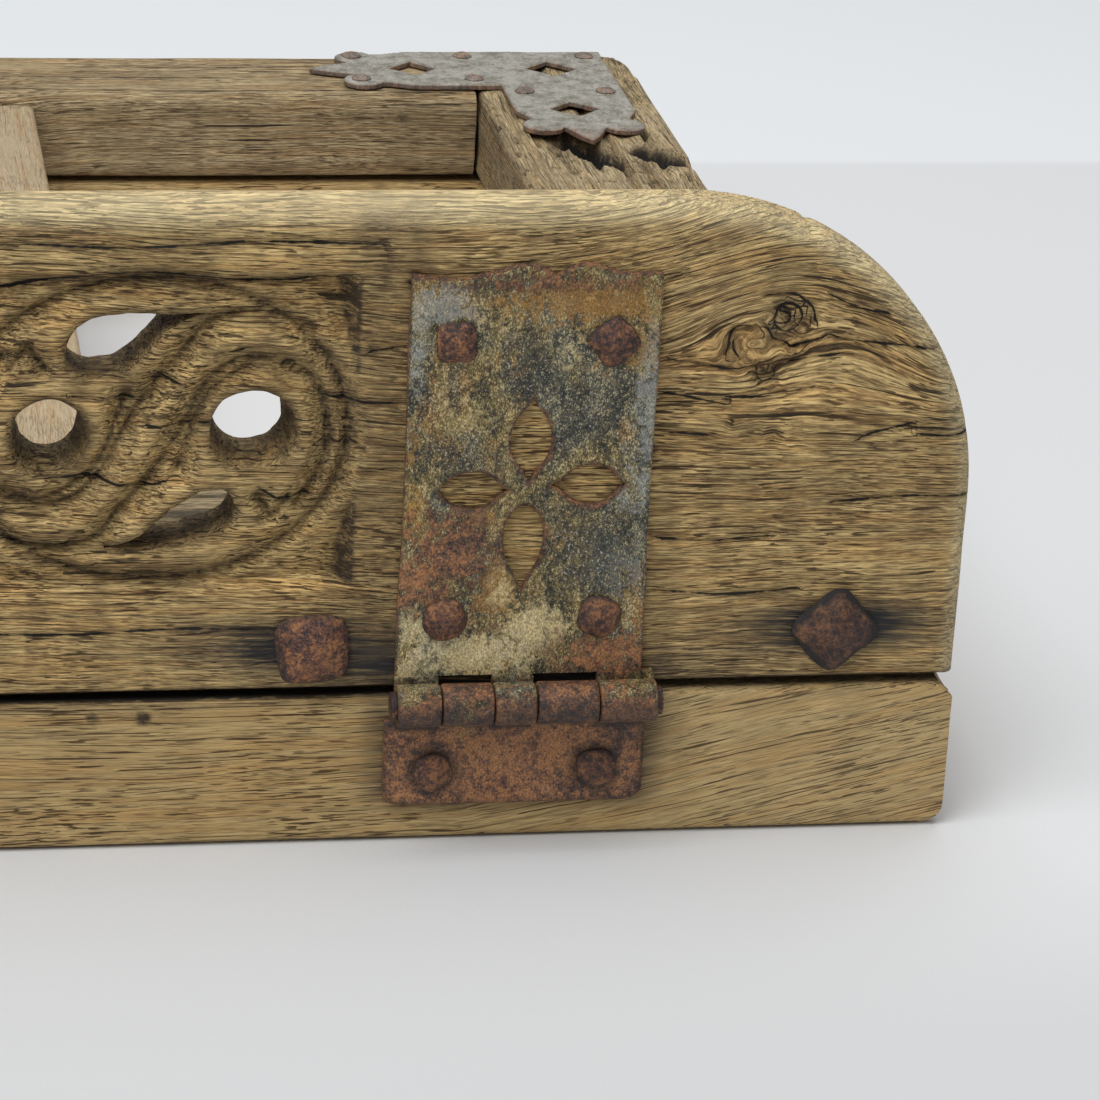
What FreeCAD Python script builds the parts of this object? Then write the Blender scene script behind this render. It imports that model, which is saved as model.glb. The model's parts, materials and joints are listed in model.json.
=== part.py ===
"""Old oak collecting box: an open base frame under a hinged lid frame with a tall carved front board.

Frame of the part: X along the front, +Y away from the carved front, +Z up. The origin is the centre of
the footprint on the table. All sizes are in millimetres.
"""
import FreeCAD, Part
import math
import os
import re

import Sketcher

SIZES = {
    # Two stacked frames; the depth runs from the carved face to the back edge
    "box_width": 476,
    "box_depth": 435,
    "base_height": 38,
    "parting_gap": 1,
    "lid_height": 28,
    "front_rail_width": 46,
    "back_rail_width": 47,
    "end_rail_width": 56,
    # Cross board between the two compartments
    "divider_width": 86,
    "divider_thickness": 20,
    "divider_drop": 3,
    # Mortise and tenon joints with oak pegs
    "tenon_length": 26,
    "tenon_thickness": 10,
    "tenon_shoulder": 9,
    "divider_tenon_length": 16,
    "divider_tenon_thickness": 8,
    "joint_clearance": 0.15,
    "peg_diameter": 8,
    # Carved front board
    "board_thickness": 17,
    "board_height": 116,
    "board_end_radius": 71,
    "board_edge_round": 4,
    # Pierced roundels: centre, round eyes and comma-shaped openings
    "roundel_offset": 47,
    "roundel_rise": 63,
    "eye_diameter": 19,
    "eye_offset": 22.7,
    "comma_tip_reach": 10.4,
    "comma_tip_rise": 27.5,
    "comma_back_reach": 13,
    "comma_back_rise": 27,
    "comma_belly_reach": 10,
    "comma_belly_rise": 13.2,
    "comma_crown": 1.4,
    "comma_round": 7,
    # Hinges: pin, knuckles counted from the middle of the box outwards, and plates
    "hinge_offset": 132.5,
    "pin_drop": 1,
    "pin_diameter": 5,
    "pin_clearance": 0.06,
    "pin_head_diameter": 6.6,
    "pin_head_thickness": 1.2,
    "knuckle_diameter": 10,
    "knuckle_standoff": 0.5,
    "knuckle_gap": 0.35,
    "knuckle_first": 10.4,
    "knuckle_second": 12.2,
    "knuckle_third": 10,
    "knuckle_fourth": 14.6,
    "knuckle_fifth": 13.8,
    "leaf_thickness": 2,
    "leaf_relief": 0.8,
    "long_leaf_width": 58,
    "long_leaf_height": 103,
    "scallop_notch": 1.5,
    "scallop_offset": 3,
    "scallop_swell": 3,
    "pierce_rise": 51.5,
    "pierce_offset": 13.2,
    "pierce_length": 17.6,
    "pierce_width": 10.4,
    "short_leaf_width": 61.5,
    "short_leaf_height": 27.5,
    "short_leaf_corner": 4,
    # Hinge nails, measured from the pin
    "hinge_nail_head": 10.5,
    "hinge_nail_flat": 4.7,
    "hinge_nail_crown": 3.6,
    "hinge_nail_shank": 3.6,
    "long_nail_spread": 36,
    "long_nail_upper": 87.3,
    "long_nail_lower": 20,
    "short_nail_spread": 38.5,
    "short_nail_drop": 18.5,
    # Large nails through the carved board into the lid frame
    "board_nail_head": 16,
    "board_nail_flat": 7.2,
    "board_nail_crown": 5,
    "board_nail_shank": 5,
    "inner_nail_offset": 84,
    "outer_nail_inset": 30.6,
    "inner_nail_rise": 11.5,
    "outer_nail_rise": 13.2,
    "nail_point_gap": 2,
    # Iron brackets on the two back corners
    "bracket_arm": 97,
    "bracket_width": 38,
    "bracket_point": 12,
    "bracket_hollow": 1.6,
    "bracket_thickness": 2,
    "bracket_end_inset": 10,
    "bracket_back_inset": 3,
    "bracket_diamond": 14,
    "bracket_diamond_reach": 64,
    "bracket_nail_head": 7.2,
    "bracket_nail_flat": 3.6,
    "bracket_nail_crown": 1.8,
    "bracket_nail_shank": 2.6,
    "bracket_nail_margin": 6,
    "bracket_nail_far": 82,
    "bracket_nail_near": 46,
}

# Places that several pieces share, written with the names of the sizes above
FRONT = "((knuckle_diameter + knuckle_standoff - box_depth) / 2)"
BACK = "((knuckle_diameter + knuckle_standoff + box_depth) / 2)"
HALF = "(box_width / 2)"
INNER_END = "(box_width / 2 - end_rail_width)"
BOARD_REAR = f"({FRONT} + board_thickness)"
INNER_FRONT = f"({BOARD_REAR} + front_rail_width)"
INNER_BACK = f"({BACK} - back_rail_width)"
LID = "(base_height + parting_gap)"
LID_TOP = f"({LID} + lid_height)"
PIN_Y = f"({FRONT} - knuckle_diameter / 2 - knuckle_standoff)"
PIN_Z = "(base_height - pin_drop)"
PLATE_BACK = "(knuckle_diameter / 2 + knuckle_standoff)"
SIDES = {"right": 1, "left": -1}
TOUCHING = 1e-6

doc = FreeCAD.newDocument("collecting_box")
sheet = doc.addObject("Spreadsheet::Sheet", "dims")
for row, (alias, value) in enumerate(SIZES.items(), start=1):
    cell = f"A{row}"
    sheet.set(cell, str(value))
    sheet.setAlias(cell, alias)
doc.recompute()

nodes = []


def words(expression):
    """Point each size named in an expression at its cell in the sheet."""
    return re.sub(r"[a-z]+(?:_[a-z]+)+", r"dims.\g<0>", expression)


def number(expression):
    """The present value of an expression."""
    return float(sheet.evalExpression(words(expression)))


def bind(item, path, expression):
    item.setExpression(path, words(expression))


def node(item, label):
    """Name a finished piece; its file takes the same name."""
    item.Label = label
    nodes.append(item)
    return item


def mirrored(sign, expression):
    return expression if sign > 0 else f"-({expression})"


def block(name, low, high):
    """A box between two corners, each given by three expressions."""
    box = doc.addObject("Part::Box", name)
    for axis, side in zip(range(3), ("Length", "Width", "Height")):
        bind(box, side, f"({high[axis]}) - ({low[axis]})")
        bind(box, "Placement.Base." + "xyz"[axis], low[axis])
    return box


def rod(name, place, diameter, length, axis="z"):
    """A cylinder that starts at a place and runs along +X, +Y or +Z."""
    turn = {
        "x": FreeCAD.Rotation(FreeCAD.Vector(0, 1, 0), 90),
        "y": FreeCAD.Rotation(FreeCAD.Vector(1, 0, 0), -90),
        "z": FreeCAD.Rotation(),
    }[axis]
    cylinder = doc.addObject("Part::Cylinder", name)
    cylinder.Placement = FreeCAD.Placement(FreeCAD.Vector(), turn)
    bind(cylinder, "Radius", f"({diameter}) / 2")
    bind(cylinder, "Height", length)
    for letter, expression in zip("xyz", place):
        bind(cylinder, "Placement.Base." + letter, expression)
    return cylinder


def joined(name, pieces):
    if len(pieces) == 1:
        return pieces[0]
    fuse = doc.addObject("Part::MultiFuse", name)
    fuse.Shapes = pieces
    fuse.Refine = True
    return fuse


def cut_from(name, base, tools):
    cut = doc.addObject("Part::Cut", name)
    cut.Base = base
    cut.Tool = joined(name + "_tools", tools)
    cut.Refine = True
    return cut


def group(name, pieces):
    """Separate solids that share one node."""
    compound = doc.addObject("Part::Compound", name)
    compound.Links = pieces
    return compound


def plane_sketch(body, name, role, offset="0"):
    """A sketch on one of the body's own planes, moved along the plane's normal."""
    plane = [feature for feature in body.Origin.OriginFeatures if feature.Role == role][0]
    sketch = body.newObject("Sketcher::SketchObject", name)
    sketch.AttachmentSupport = [(plane, "")]
    sketch.MapMode = "FlatFace"
    bind(sketch, "AttachmentOffset.Base.z", offset)
    return sketch


def fix_point(sketch, geometry, end, x, y):
    """Hold a point of the sketch at two expressions, measured from the sketch's origin."""
    for kind, expression in (("DistanceX", x), ("DistanceY", y)):
        constraint = Sketcher.Constraint(kind, -1, 1, geometry, end, number(expression))
        bind(sketch, f"Constraints[{sketch.addConstraint(constraint)}]", expression)


def circle(sketch, x, y, diameter):
    middle = FreeCAD.Vector(number(x), number(y), 0)
    ring = Part.Circle(middle, FreeCAD.Vector(0, 0, 1), number(diameter) / 2)
    geometry = sketch.addGeometry(ring, False)
    fix_point(sketch, geometry, 3, x, y)
    constraint = Sketcher.Constraint("Diameter", geometry, number(diameter))
    bind(sketch, f"Constraints[{sketch.addConstraint(constraint)}]", diameter)


def outline(sketch, points, sign=1):
    """A closed outline. A point is (x, y) or (x, y, rise), and rise bows the run that follows it.

    The points go round counter-clockwise, a positive rise bows outwards, and sign -1 mirrors it all in x.
    """
    corners = [(mirrored(sign, point[0]), point[1]) for point in points]
    rises = [point[2] if len(point) > 2 else None for point in points]
    ends = []
    for index, rise in enumerate(rises):
        (x, y), (next_x, next_y) = corners[index], corners[(index + 1) % len(corners)]
        start = FreeCAD.Vector(number(x), number(y), 0)
        stop = FreeCAD.Vector(number(next_x), number(next_y), 0)
        if rise is None:
            geometry = sketch.addGeometry(Part.LineSegment(start, stop), False)
            ends.append((geometry, 1, 2))
            continue
        bow = number(rise) * sign
        chord = stop - start
        radius = (chord.Length ** 2 / 4 + bow ** 2) / (2 * abs(bow))
        outward = FreeCAD.Vector(chord.y, -chord.x, 0).normalize() * math.copysign(1, bow)
        centre = (start + stop) * 0.5 + outward * (abs(bow) - radius)
        first, last = (start, stop) if bow > 0 else (stop, start)
        angles = [math.atan2(end.y - centre.y, end.x - centre.x) for end in (first, last)]
        if angles[1] < angles[0]:
            angles[1] += 2 * math.pi
        arc = Part.ArcOfCircle(Part.Circle(centre, FreeCAD.Vector(0, 0, 1), radius), *angles)
        geometry = sketch.addGeometry(arc, False)
        ends.append((geometry, 1, 2) if bow > 0 else (geometry, 2, 1))
    for index, (geometry, start_end, stop_end) in enumerate(ends):
        after, after_start, _ = ends[(index + 1) % len(ends)]
        sketch.addConstraint(Sketcher.Constraint("Coincident", geometry, stop_end, after, after_start))
        fix_point(sketch, geometry, start_end, *corners[index])
    for index, rise in enumerate(rises):
        if rise is None:
            continue
        (x, y), (next_x, next_y) = corners[index], corners[(index + 1) % len(corners)]
        square = f"(({next_x}) - ({x}))^2 + (({next_y}) - ({y}))^2"
        radius = f"(({square}) / 4 + ({rise})^2) / (2 * abs({rise}))"
        constraint = Sketcher.Constraint("Radius", ends[index][0], number(radius))
        bind(sketch, f"Constraints[{sketch.addConstraint(constraint)}]", radius)


def pad(body, sketch, length):
    feature = body.newObject("PartDesign::Pad", sketch.Name + "_pad")
    feature.Profile = sketch
    bind(feature, "Length", length)
    return feature


def place(item, x, y, z):
    for letter, expression in zip("xyz", (x, y, z)):
        bind(item, "Placement.Base." + letter, expression)


# Rails: a plain bar, and a tongue through its middle that stands out as a tenon at both ends

def tongue_corners(low, high, run, across, length, thickness, grow="0"):
    """Corners of the tongue of a bar. run and across are axis numbers; grow opens it into a mortise."""
    middle = f"(({low[2]}) + ({high[2]})) / 2"
    start = [None, None, f"{middle} - ({thickness}) / 2 - {grow}"]
    stop = [None, None, f"{middle} + ({thickness}) / 2 + {grow}"]
    start[run] = f"({low[run]}) - ({length}) - {grow}"
    stop[run] = f"({high[run]}) + ({length}) + {grow}"
    start[across] = f"({low[across]}) + tenon_shoulder - {grow}"
    stop[across] = f"({high[across]}) - tenon_shoulder + {grow}"
    return start, stop


class Bar:
    """A bar of a frame with a tenon at each end, or none where run is left out."""

    def __init__(self, label, low, high, run=None, length="tenon_length", thickness="tenon_thickness"):
        self.label, self.low, self.high = label, low, high
        self.run, self.length, self.thickness = run, length, thickness
        self.tools = []

    def tongue(self, name, grow):
        across = 1 - self.run
        corners = tongue_corners(self.low, self.high, self.run, across, self.length, self.thickness, grow)
        return block(name, *corners)

    def mortise(self, other):
        """Cut this bar where the other bar's tenon goes in."""
        self.tools.append(other.tongue(f"{self.label}_for_{other.label}", "joint_clearance"))

    def finish(self):
        solid = block(self.label + "_bar", self.low, self.high)
        if self.run is not None:
            solid = joined(self.label + "_tenoned", [solid, self.tongue(self.label + "_tongue", "0")])
        if self.tools:
            solid = cut_from(self.label + "_cut", solid, self.tools)
        return node(solid, self.label)


def end_span(sign):
    """Lowest and highest x of an end rail."""
    return (INNER_END, HALF) if sign > 0 else (f"-{HALF}", f"-{INNER_END}")


# The base frame: front and back rails run the full width, and the end rails are tenoned into them
base_front = Bar("base_front_rail", (f"-{HALF}", FRONT, "0"), (HALF, INNER_FRONT, "base_height"))
base_back = Bar("base_back_rail", (f"-{HALF}", INNER_BACK, "0"), (HALF, BACK, "base_height"))
base_ends = {}
for side, sign in SIDES.items():
    x_low, x_high = end_span(sign)
    base_ends[side] = Bar(
        f"base_end_rail_{side}", (x_low, INNER_FRONT, "0"), (x_high, INNER_BACK, "base_height"), run=1
    )
    base_front.mortise(base_ends[side])
    base_back.mortise(base_ends[side])

# The lid frame: the end rails run from the board to the back, and carry the front and back rails
lid_front = Bar(
    "lid_front_rail", (f"-{INNER_END}", BOARD_REAR, LID), (INNER_END, INNER_FRONT, LID_TOP), run=0
)
lid_back = Bar("lid_back_rail", (f"-{INNER_END}", INNER_BACK, LID), (INNER_END, BACK, LID_TOP), run=0)
lid_ends = {}
for side, sign in SIDES.items():
    x_low, x_high = end_span(sign)
    lid_ends[side] = Bar(f"lid_end_rail_{side}", (x_low, BOARD_REAR, LID), (x_high, BACK, LID_TOP))
    lid_ends[side].mortise(lid_front)
    lid_ends[side].mortise(lid_back)

divider_top = f"({LID_TOP} - divider_drop)"
divider = Bar(
    "lid_divider",
    ("-divider_width / 2", INNER_FRONT, f"{divider_top} - divider_thickness"),
    ("divider_width / 2", INNER_BACK, divider_top),
    run=1, length="divider_tenon_length", thickness="divider_tenon_thickness",
)
lid_front.mortise(divider)
lid_back.mortise(divider)


# Pegs lock the tenons: right through the base, and up from below as far as the tenon's top in the lid

def peg_set(label, spots, foot, length, bars):
    pegs = []
    for index, (x, y) in enumerate(spots):
        pegs.append(rod(f"{label}_{index}", (x, y, foot), "peg_diameter", length))
        for bar in bars:
            bar.tools.append(rod(f"{label}_{bar.label}_{index}", (x, y, foot), "peg_diameter", length))
    node(group(label + "_group", pegs), label)


base_spots = []
lid_spots = []
for sign in SIDES.values():
    for y in (f"{INNER_FRONT} - tenon_length / 2", f"{INNER_BACK} + tenon_length / 2"):
        base_spots.append((mirrored(sign, f"{HALF} - end_rail_width / 2"), y))
    for y in (f"({BOARD_REAR} + {INNER_FRONT}) / 2", f"({INNER_BACK} + {BACK}) / 2"):
        lid_spots.append((mirrored(sign, f"{INNER_END} + tenon_length / 2"), y))
peg_set("base_pegs", base_spots, "0", "base_height", [base_front, base_back, *base_ends.values()])
lid_peg_length = "(lid_height + tenon_thickness) / 2"
peg_set("lid_pegs", lid_spots, LID, lid_peg_length, [lid_front, lid_back, *lid_ends.values()])


# Nails: a forged head with four slopes on a front face, or a round one on top, over a straight shank

def front_nail(name, spot, kind, length, turn):
    """A nail driven in along +Y at a spot, its head standing out of the face and turned by some degrees."""
    cap = doc.addObject("Part::Wedge", name + "_head")
    cap.Placement = FreeCAD.Placement(FreeCAD.Vector(), FreeCAD.Rotation(FreeCAD.Vector(0, 1, 0), turn))
    bind(cap, "Ymin", f"-{kind}_crown")
    cap.Ymax = 0
    for prefix, width in (("", f"{kind}_flat"), ("2", f"{kind}_head")):
        for axis in "XZ":
            bind(cap, f"{axis}{prefix}min", f"-{width} / 2")
            bind(cap, f"{axis}{prefix}max", f"{width} / 2")
    place(cap, *spot)
    return joined(name, [cap, rod(name + "_shank", spot, f"{kind}_shank", length, "y")])


board_nail_length = "(board_thickness + (front_rail_width - peg_diameter) / 2 - nail_point_gap)"
board_nail_spots = []
for sign in SIDES.values():
    inner = (mirrored(sign, "inner_nail_offset"), f"{LID} + inner_nail_rise", 0)
    outer = (mirrored(sign, f"{HALF} - outer_nail_inset"), f"{LID} + outer_nail_rise", 45)
    board_nail_spots += [inner, outer]

board_nails = []
for index, (x, z, turn) in enumerate(board_nail_spots):
    name = f"board_nail_{index}"
    spot = (x, FRONT, z)
    board_nails.append(front_nail(name, spot, "board_nail", board_nail_length, turn))
    for bar in (lid_front, *lid_ends.values()):
        bar.tools.append(rod(f"{name}_{bar.label}", spot, "board_nail_shank", board_nail_length, "y"))
node(group("board_nail_group", board_nails), "board_nails")


# Hinges: a pierced long leaf on the board, a short leaf on the base, five knuckles and a pin

KNUCKLES = {}
BARREL_START = BARREL_END = "-long_leaf_width / 2"
for order in ("first", "second", "third", "fourth", "fifth"):
    inner_edge, BARREL_END = BARREL_END, f"{BARREL_END} + knuckle_{order}"
    KNUCKLES[order] = (inner_edge, BARREL_END)
LONG_KNUCKLES = ("first", "third", "fifth")
SHORT_KNUCKLES = ("second", "fourth")
RELIEF = "(knuckle_diameter / 2 + leaf_relief)"
PLATE_FRONT_Y = f"({FRONT} - leaf_thickness)"
LONG_NAILS = (
    ("-long_nail_spread / 2", "long_nail_upper", 4),
    ("long_nail_spread / 2", "long_nail_upper", 41),
    ("-long_nail_spread / 2", "long_nail_lower", 20),
    ("long_nail_spread / 2", "long_nail_lower", 68),
)
SHORT_NAILS = (
    ("-short_nail_spread / 2", "-short_nail_drop", 24),
    ("short_nail_spread / 2", "-short_nail_drop", 8),
)


def knuckle_span(order, spare):
    """Inner and outer x of one knuckle, drawn in by some spare room at each end."""
    inner, outer = KNUCKLES[order]
    return f"({inner} + {spare})", f"({outer} - {spare})"


def pierced_leaf(sketch, sign, x, z, half_x, half_z, upright):
    """A pointed opening between two arcs, its points up and down or to the sides."""
    if upright:
        points = [(x, f"{z} - {half_z}", half_x), (x, f"{z} + {half_z}", half_x)]
    else:
        points = [(f"{x} + {half_x}", z, half_z), (f"{x} - {half_x}", z, half_z)]
    outline(sketch, points, sign)


def hinge_body(label, sign):
    body = doc.addObject("PartDesign::Body", label + "_body")
    place(body, mirrored(sign, "hinge_offset"), PIN_Y, PIN_Z)
    return body


def knuckle_rings(body, label, sign, which, bore):
    """Add the leaf's own knuckles to its plate and bore them for the pin."""
    for order in which:
        inner, outer = knuckle_span(order, "knuckle_gap / 2")
        start = inner if sign > 0 else f"-{outer}"
        ring = plane_sketch(body, f"{label}_knuckle_{order}", "YZ_Plane", start)
        circle(ring, "0", "0", "knuckle_diameter")
        pad(body, ring, f"{outer} - {inner}")
    hole = plane_sketch(body, label + "_bore", "YZ_Plane")
    circle(hole, "0", "0", bore)
    pocket = body.newObject("PartDesign::Pocket", label + "_bore_cut")
    pocket.Profile = hole
    pocket.Type = "ThroughAll"
    pocket.Midplane = True


def long_leaf(side, sign):
    label = f"hinge_long_leaf_{side}"
    body = hinge_body(label, sign)
    plate = plane_sketch(body, label + "_plate", "XZ_Plane", f"-{PLATE_BACK}")
    points = [(f"{BARREL_START} + knuckle_gap / 2", "0")]
    for short in SHORT_KNUCKLES:
        left, right = knuckle_span(short, "-knuckle_gap / 2")
        points += [(left, "0"), (left, RELIEF), (right, RELIEF), (right, "0")]
    points += [
        ("long_leaf_width / 2", "0"),
        ("long_leaf_width / 2", "long_leaf_height", "scallop_swell"),
        ("scallop_offset", "long_leaf_height - scallop_notch", "scallop_swell"),
        ("-long_leaf_width / 2", "long_leaf_height"),
    ]
    outline(plate, points, sign)
    half_length, half_width = "(pierce_length / 2)", "(pierce_width / 2)"
    for step in (1, -1):
        shift = f"(pierce_offset * {step})"
        pierced_leaf(plate, sign, "0", f"pierce_rise + {shift}", half_width, half_length, True)
        pierced_leaf(plate, sign, shift, "pierce_rise", half_length, half_width, False)
    for x, z, _ in LONG_NAILS:
        circle(plate, mirrored(sign, x), z, "hinge_nail_shank")
    pad(body, plate, "leaf_thickness")
    knuckle_rings(body, label, sign, LONG_KNUCKLES, "pin_diameter + 2 * pin_clearance")
    return node(body, label)


def short_leaf(side, sign):
    label = f"hinge_short_leaf_{side}"
    body = hinge_body(label, sign)
    plate = plane_sketch(body, label + "_plate", "XZ_Plane", f"-{PLATE_BACK}")
    half, foot = "(short_leaf_width / 2)", "(short_leaf_height)"
    bow = "short_leaf_corner * (1 - 1 / sqrt(2))"
    points = [
        (f"-{half}", f"-{foot} + short_leaf_corner", bow),
        (f"-{half} + short_leaf_corner", f"-{foot}"),
        (f"{half} - short_leaf_corner", f"-{foot}", bow),
        (half, f"-{foot} + short_leaf_corner"),
        (half, f"-{RELIEF}"),
    ]
    for short in reversed(SHORT_KNUCKLES):
        left, right = knuckle_span(short, "knuckle_gap / 2")
        points += [(right, f"-{RELIEF}"), (right, "0"), (left, "0"), (left, f"-{RELIEF}")]
    points += [(f"-{half}", f"-{RELIEF}")]
    outline(plate, points, sign)
    for x, z, _ in SHORT_NAILS:
        circle(plate, mirrored(sign, x), z, "hinge_nail_shank")
    pad(body, plate, "leaf_thickness")
    knuckle_rings(body, label, sign, SHORT_KNUCKLES, "pin_diameter")
    return node(body, label)


def hinge_pin(side, sign):
    """A rod through all knuckles with a peened head past each end."""
    label = f"hinge_pin_{side}"
    inner_tip, outer_tip = f"{BARREL_START} - pin_head_thickness", f"{BARREL_END} + pin_head_thickness"
    spans = {
        "rod": (inner_tip, outer_tip, "pin_diameter"),
        "inner_head": (inner_tip, BARREL_START, "pin_head_diameter"),
        "outer_head": (BARREL_END, outer_tip, "pin_head_diameter"),
    }
    pieces = []
    for name, (start, stop, diameter) in spans.items():
        near = start if sign > 0 else f"-({stop})"
        x = f"{mirrored(sign, 'hinge_offset')} + {near}"
        pieces.append(rod(f"{label}_{name}", (x, PIN_Y, PIN_Z), diameter, f"({stop}) - ({start})", "x"))
    return node(joined(label + "_pin", pieces), label)


def leaf_nails(side, sign, which, spots, length, bars):
    """The nails of one leaf, and their holes in the wood behind it."""
    label = f"{which}_leaf_nails_{side}"
    nails = []
    places = []
    for index, (x, z, turn) in enumerate(spots):
        spot = (mirrored(sign, f"hinge_offset + {x}"), PLATE_FRONT_Y, f"{PIN_Z} + {z}")
        nails.append(front_nail(f"{label}_{index}", spot, "hinge_nail", length, turn * sign))
        for bar in bars:
            name = f"{label}_{index}_{bar.label}"
            bar.tools.append(rod(name, spot, "hinge_nail_shank", length, "y"))
        places.append((spot[0], f"{spot[2]} - {LID}"))
    node(group(label + "_group", nails), label)
    return places


long_nail_length = "(leaf_thickness + board_thickness - nail_point_gap)"
short_nail_length = "(leaf_thickness + (board_thickness + front_rail_width - tenon_length) / 2)"
board_holes = [(x, f"{z} - {LID}", "board_nail_shank") for x, z, _ in board_nail_spots]
for side, sign in SIDES.items():
    long_leaf(side, sign)
    short_leaf(side, sign)
    hinge_pin(side, sign)
    for x, z in leaf_nails(side, sign, "long", LONG_NAILS, long_nail_length, []):
        board_holes.append((x, z, "hinge_nail_shank"))
    leaf_nails(side, sign, "short", SHORT_NAILS, short_nail_length, [base_front])


# Corner brackets: flat iron angles with pointed ends, pierced with diamonds and nailed down

def bracket_nail_spots():
    near_edge, far_edge = "-bracket_nail_margin", "-(bracket_width - bracket_nail_margin)"
    spots = [("-bracket_nail_margin", "-bracket_nail_margin")]
    for reach in ("bracket_nail_far", "bracket_nail_near"):
        spots += [(f"-{reach}", near_edge), (f"-{reach}", far_edge)]
    spots += [(near_edge, "-bracket_nail_near"), (far_edge, "-bracket_nail_near")]
    return spots


def corner_bracket(side, sign):
    label = f"corner_bracket_{side}"
    body = doc.addObject("PartDesign::Body", label + "_body")
    corner = (f"{HALF} - bracket_end_inset", f"{BACK} - bracket_back_inset")
    place(body, mirrored(sign, corner[0]), corner[1], LID_TOP)
    sketch = plane_sketch(body, label + "_plate", "XY_Plane")
    wide, half, tip = "-bracket_width", "-bracket_width / 2", "-bracket_arm"
    neck, hollow = "-(bracket_arm - bracket_point)", "-bracket_hollow"
    outline(sketch, [
        ("0", "0"),
        (neck, "0", hollow), (tip, half, hollow), (neck, wide),
        (wide, wide),
        (wide, neck, hollow), (half, tip, hollow), ("0", neck),
    ], sign)
    radius = "bracket_diamond / 2"
    for x, y in ((half, half), ("-bracket_diamond_reach", half), (half, "-bracket_diamond_reach")):
        outline(sketch, [
            (f"{x} + {radius}", y), (x, f"{y} + {radius}"), (f"{x} - {radius}", y), (x, f"{y} - {radius}"),
        ], sign)
    for x, y in bracket_nail_spots():
        circle(sketch, mirrored(sign, x), y, "bracket_nail_shank")
    pad(body, sketch, "bracket_thickness")
    node(body, label)

    wood_depth = "((lid_height - tenon_thickness) / 2 - nail_point_gap)"
    nails = []
    for index, (x, y) in enumerate(bracket_nail_spots()):
        name = f"bracket_nail_{side}_{index}"
        x_place = mirrored(sign, f"{corner[0]} + ({x})")
        y_place = f"{corner[1]} + ({y})"
        shank_spot = (x_place, y_place, f"{LID_TOP} - {wood_depth}")
        shank = rod(name + "_shank", shank_spot, "bracket_nail_shank", f"{wood_depth} + bracket_thickness")
        head = doc.addObject("Part::Cone", name + "_head")
        bind(head, "Radius1", "bracket_nail_head / 2")
        bind(head, "Radius2", "bracket_nail_flat / 2")
        bind(head, "Height", "bracket_nail_crown")
        place(head, x_place, y_place, f"{LID_TOP} + bracket_thickness")
        nails.append(joined(name, [shank, head]))
        for bar in (lid_back, lid_ends[side]):
            bar.tools.append(rod(f"{name}_{bar.label}", shank_spot, "bracket_nail_shank", wood_depth))
    node(group(f"bracket_nails_{side}_group", nails), f"bracket_nails_{side}")


for side, sign in SIDES.items():
    corner_bracket(side, sign)


# The carved board: round-shouldered ends, pierced eyes and commas, and holes for its nails

def carved_board():
    label = "carved_front_board"
    body = doc.addObject("PartDesign::Body", label + "_body")
    place(body, "0", BOARD_REAR, LID)
    sketch = plane_sketch(body, label + "_face", "XZ_Plane")
    shoulder = "board_end_radius * (1 - 1 / sqrt(2))"
    spring, level = "(board_height - board_end_radius)", f"({HALF} - board_end_radius)"
    outline(sketch, [
        (f"-{HALF}", "0"), (HALF, "0"),
        (HALF, spring, shoulder), (level, "board_height"),
        (f"-{level}", "board_height", shoulder), (f"-{HALF}", spring),
    ])
    for sign in SIDES.values():
        for half_turn in (1, -1):
            turned = [f"roundel_offset + ({half_turn}) * (eye_offset)", "roundel_rise"]
            circle(sketch, mirrored(sign, turned[0]), turned[1], "eye_diameter")
            comma = [
                ("comma_tip_reach", "comma_tip_rise", "comma_crown"),
                ("-comma_back_reach", "comma_back_rise", "comma_round"),
                ("-comma_belly_reach", "comma_belly_rise"),
            ]
            outline(sketch, [
                (f"roundel_offset + ({half_turn}) * ({x})", f"roundel_rise + ({half_turn}) * ({y})", *bow)
                for x, y, *bow in comma
            ], sign)
    for x, z, diameter in board_holes:
        circle(sketch, x, z, diameter)
    slab = pad(body, sketch, "board_thickness")
    doc.recompute()
    round_top_edges(body, slab)
    return node(body, label)


def round_top_edges(body, slab):
    """Round the worn upper edges, front and rear: the straight top and both shoulders."""
    top = number("board_height")
    shoulder_start = number("board_height - board_end_radius")
    shoulder_side = number(f"{HALF} - board_end_radius")
    names = []
    for index, edge in enumerate(slab.Shape.Edges, start=1):
        box = edge.BoundBox
        flat = box.YLength < TOUCHING
        straight_top = abs(box.ZMin - top) < TOUCHING
        beside_top = min(abs(box.XMin), abs(box.XMax)) > shoulder_side - TOUCHING
        on_shoulder = beside_top and box.ZMin > shoulder_start - TOUCHING and box.ZLength > TOUCHING
        if flat and (straight_top or on_shoulder):
            names.append(f"Edge{index}")
    fillet = body.newObject("PartDesign::Fillet", "carved_front_board_round")
    fillet.Base = (slab, names)
    bind(fillet, "Radius", "board_edge_round")


carved_board()
for bar in (base_front, base_back, *base_ends.values(), lid_front, lid_back, *lid_ends.values(), divider):
    bar.finish()

doc.recompute()
failed = [item.Name for item in doc.Objects if {"Invalid", "Error"} & set(item.State)]
for item in nodes:
    if item.Shape.isNull() or not item.Shape.isValid():
        failed.append(item.Label)
if failed:
    raise RuntimeError("not built: " + ", ".join(failed))

os.makedirs("parts", exist_ok=True)
for item in nodes:
    item.Shape.exportStep(os.path.join("parts", item.Label + ".step"))
    print(f"{item.Label}: {len(item.Shape.Solids)} solid(s), {item.Shape.Volume / 1000:.2f} cm3")
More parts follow.
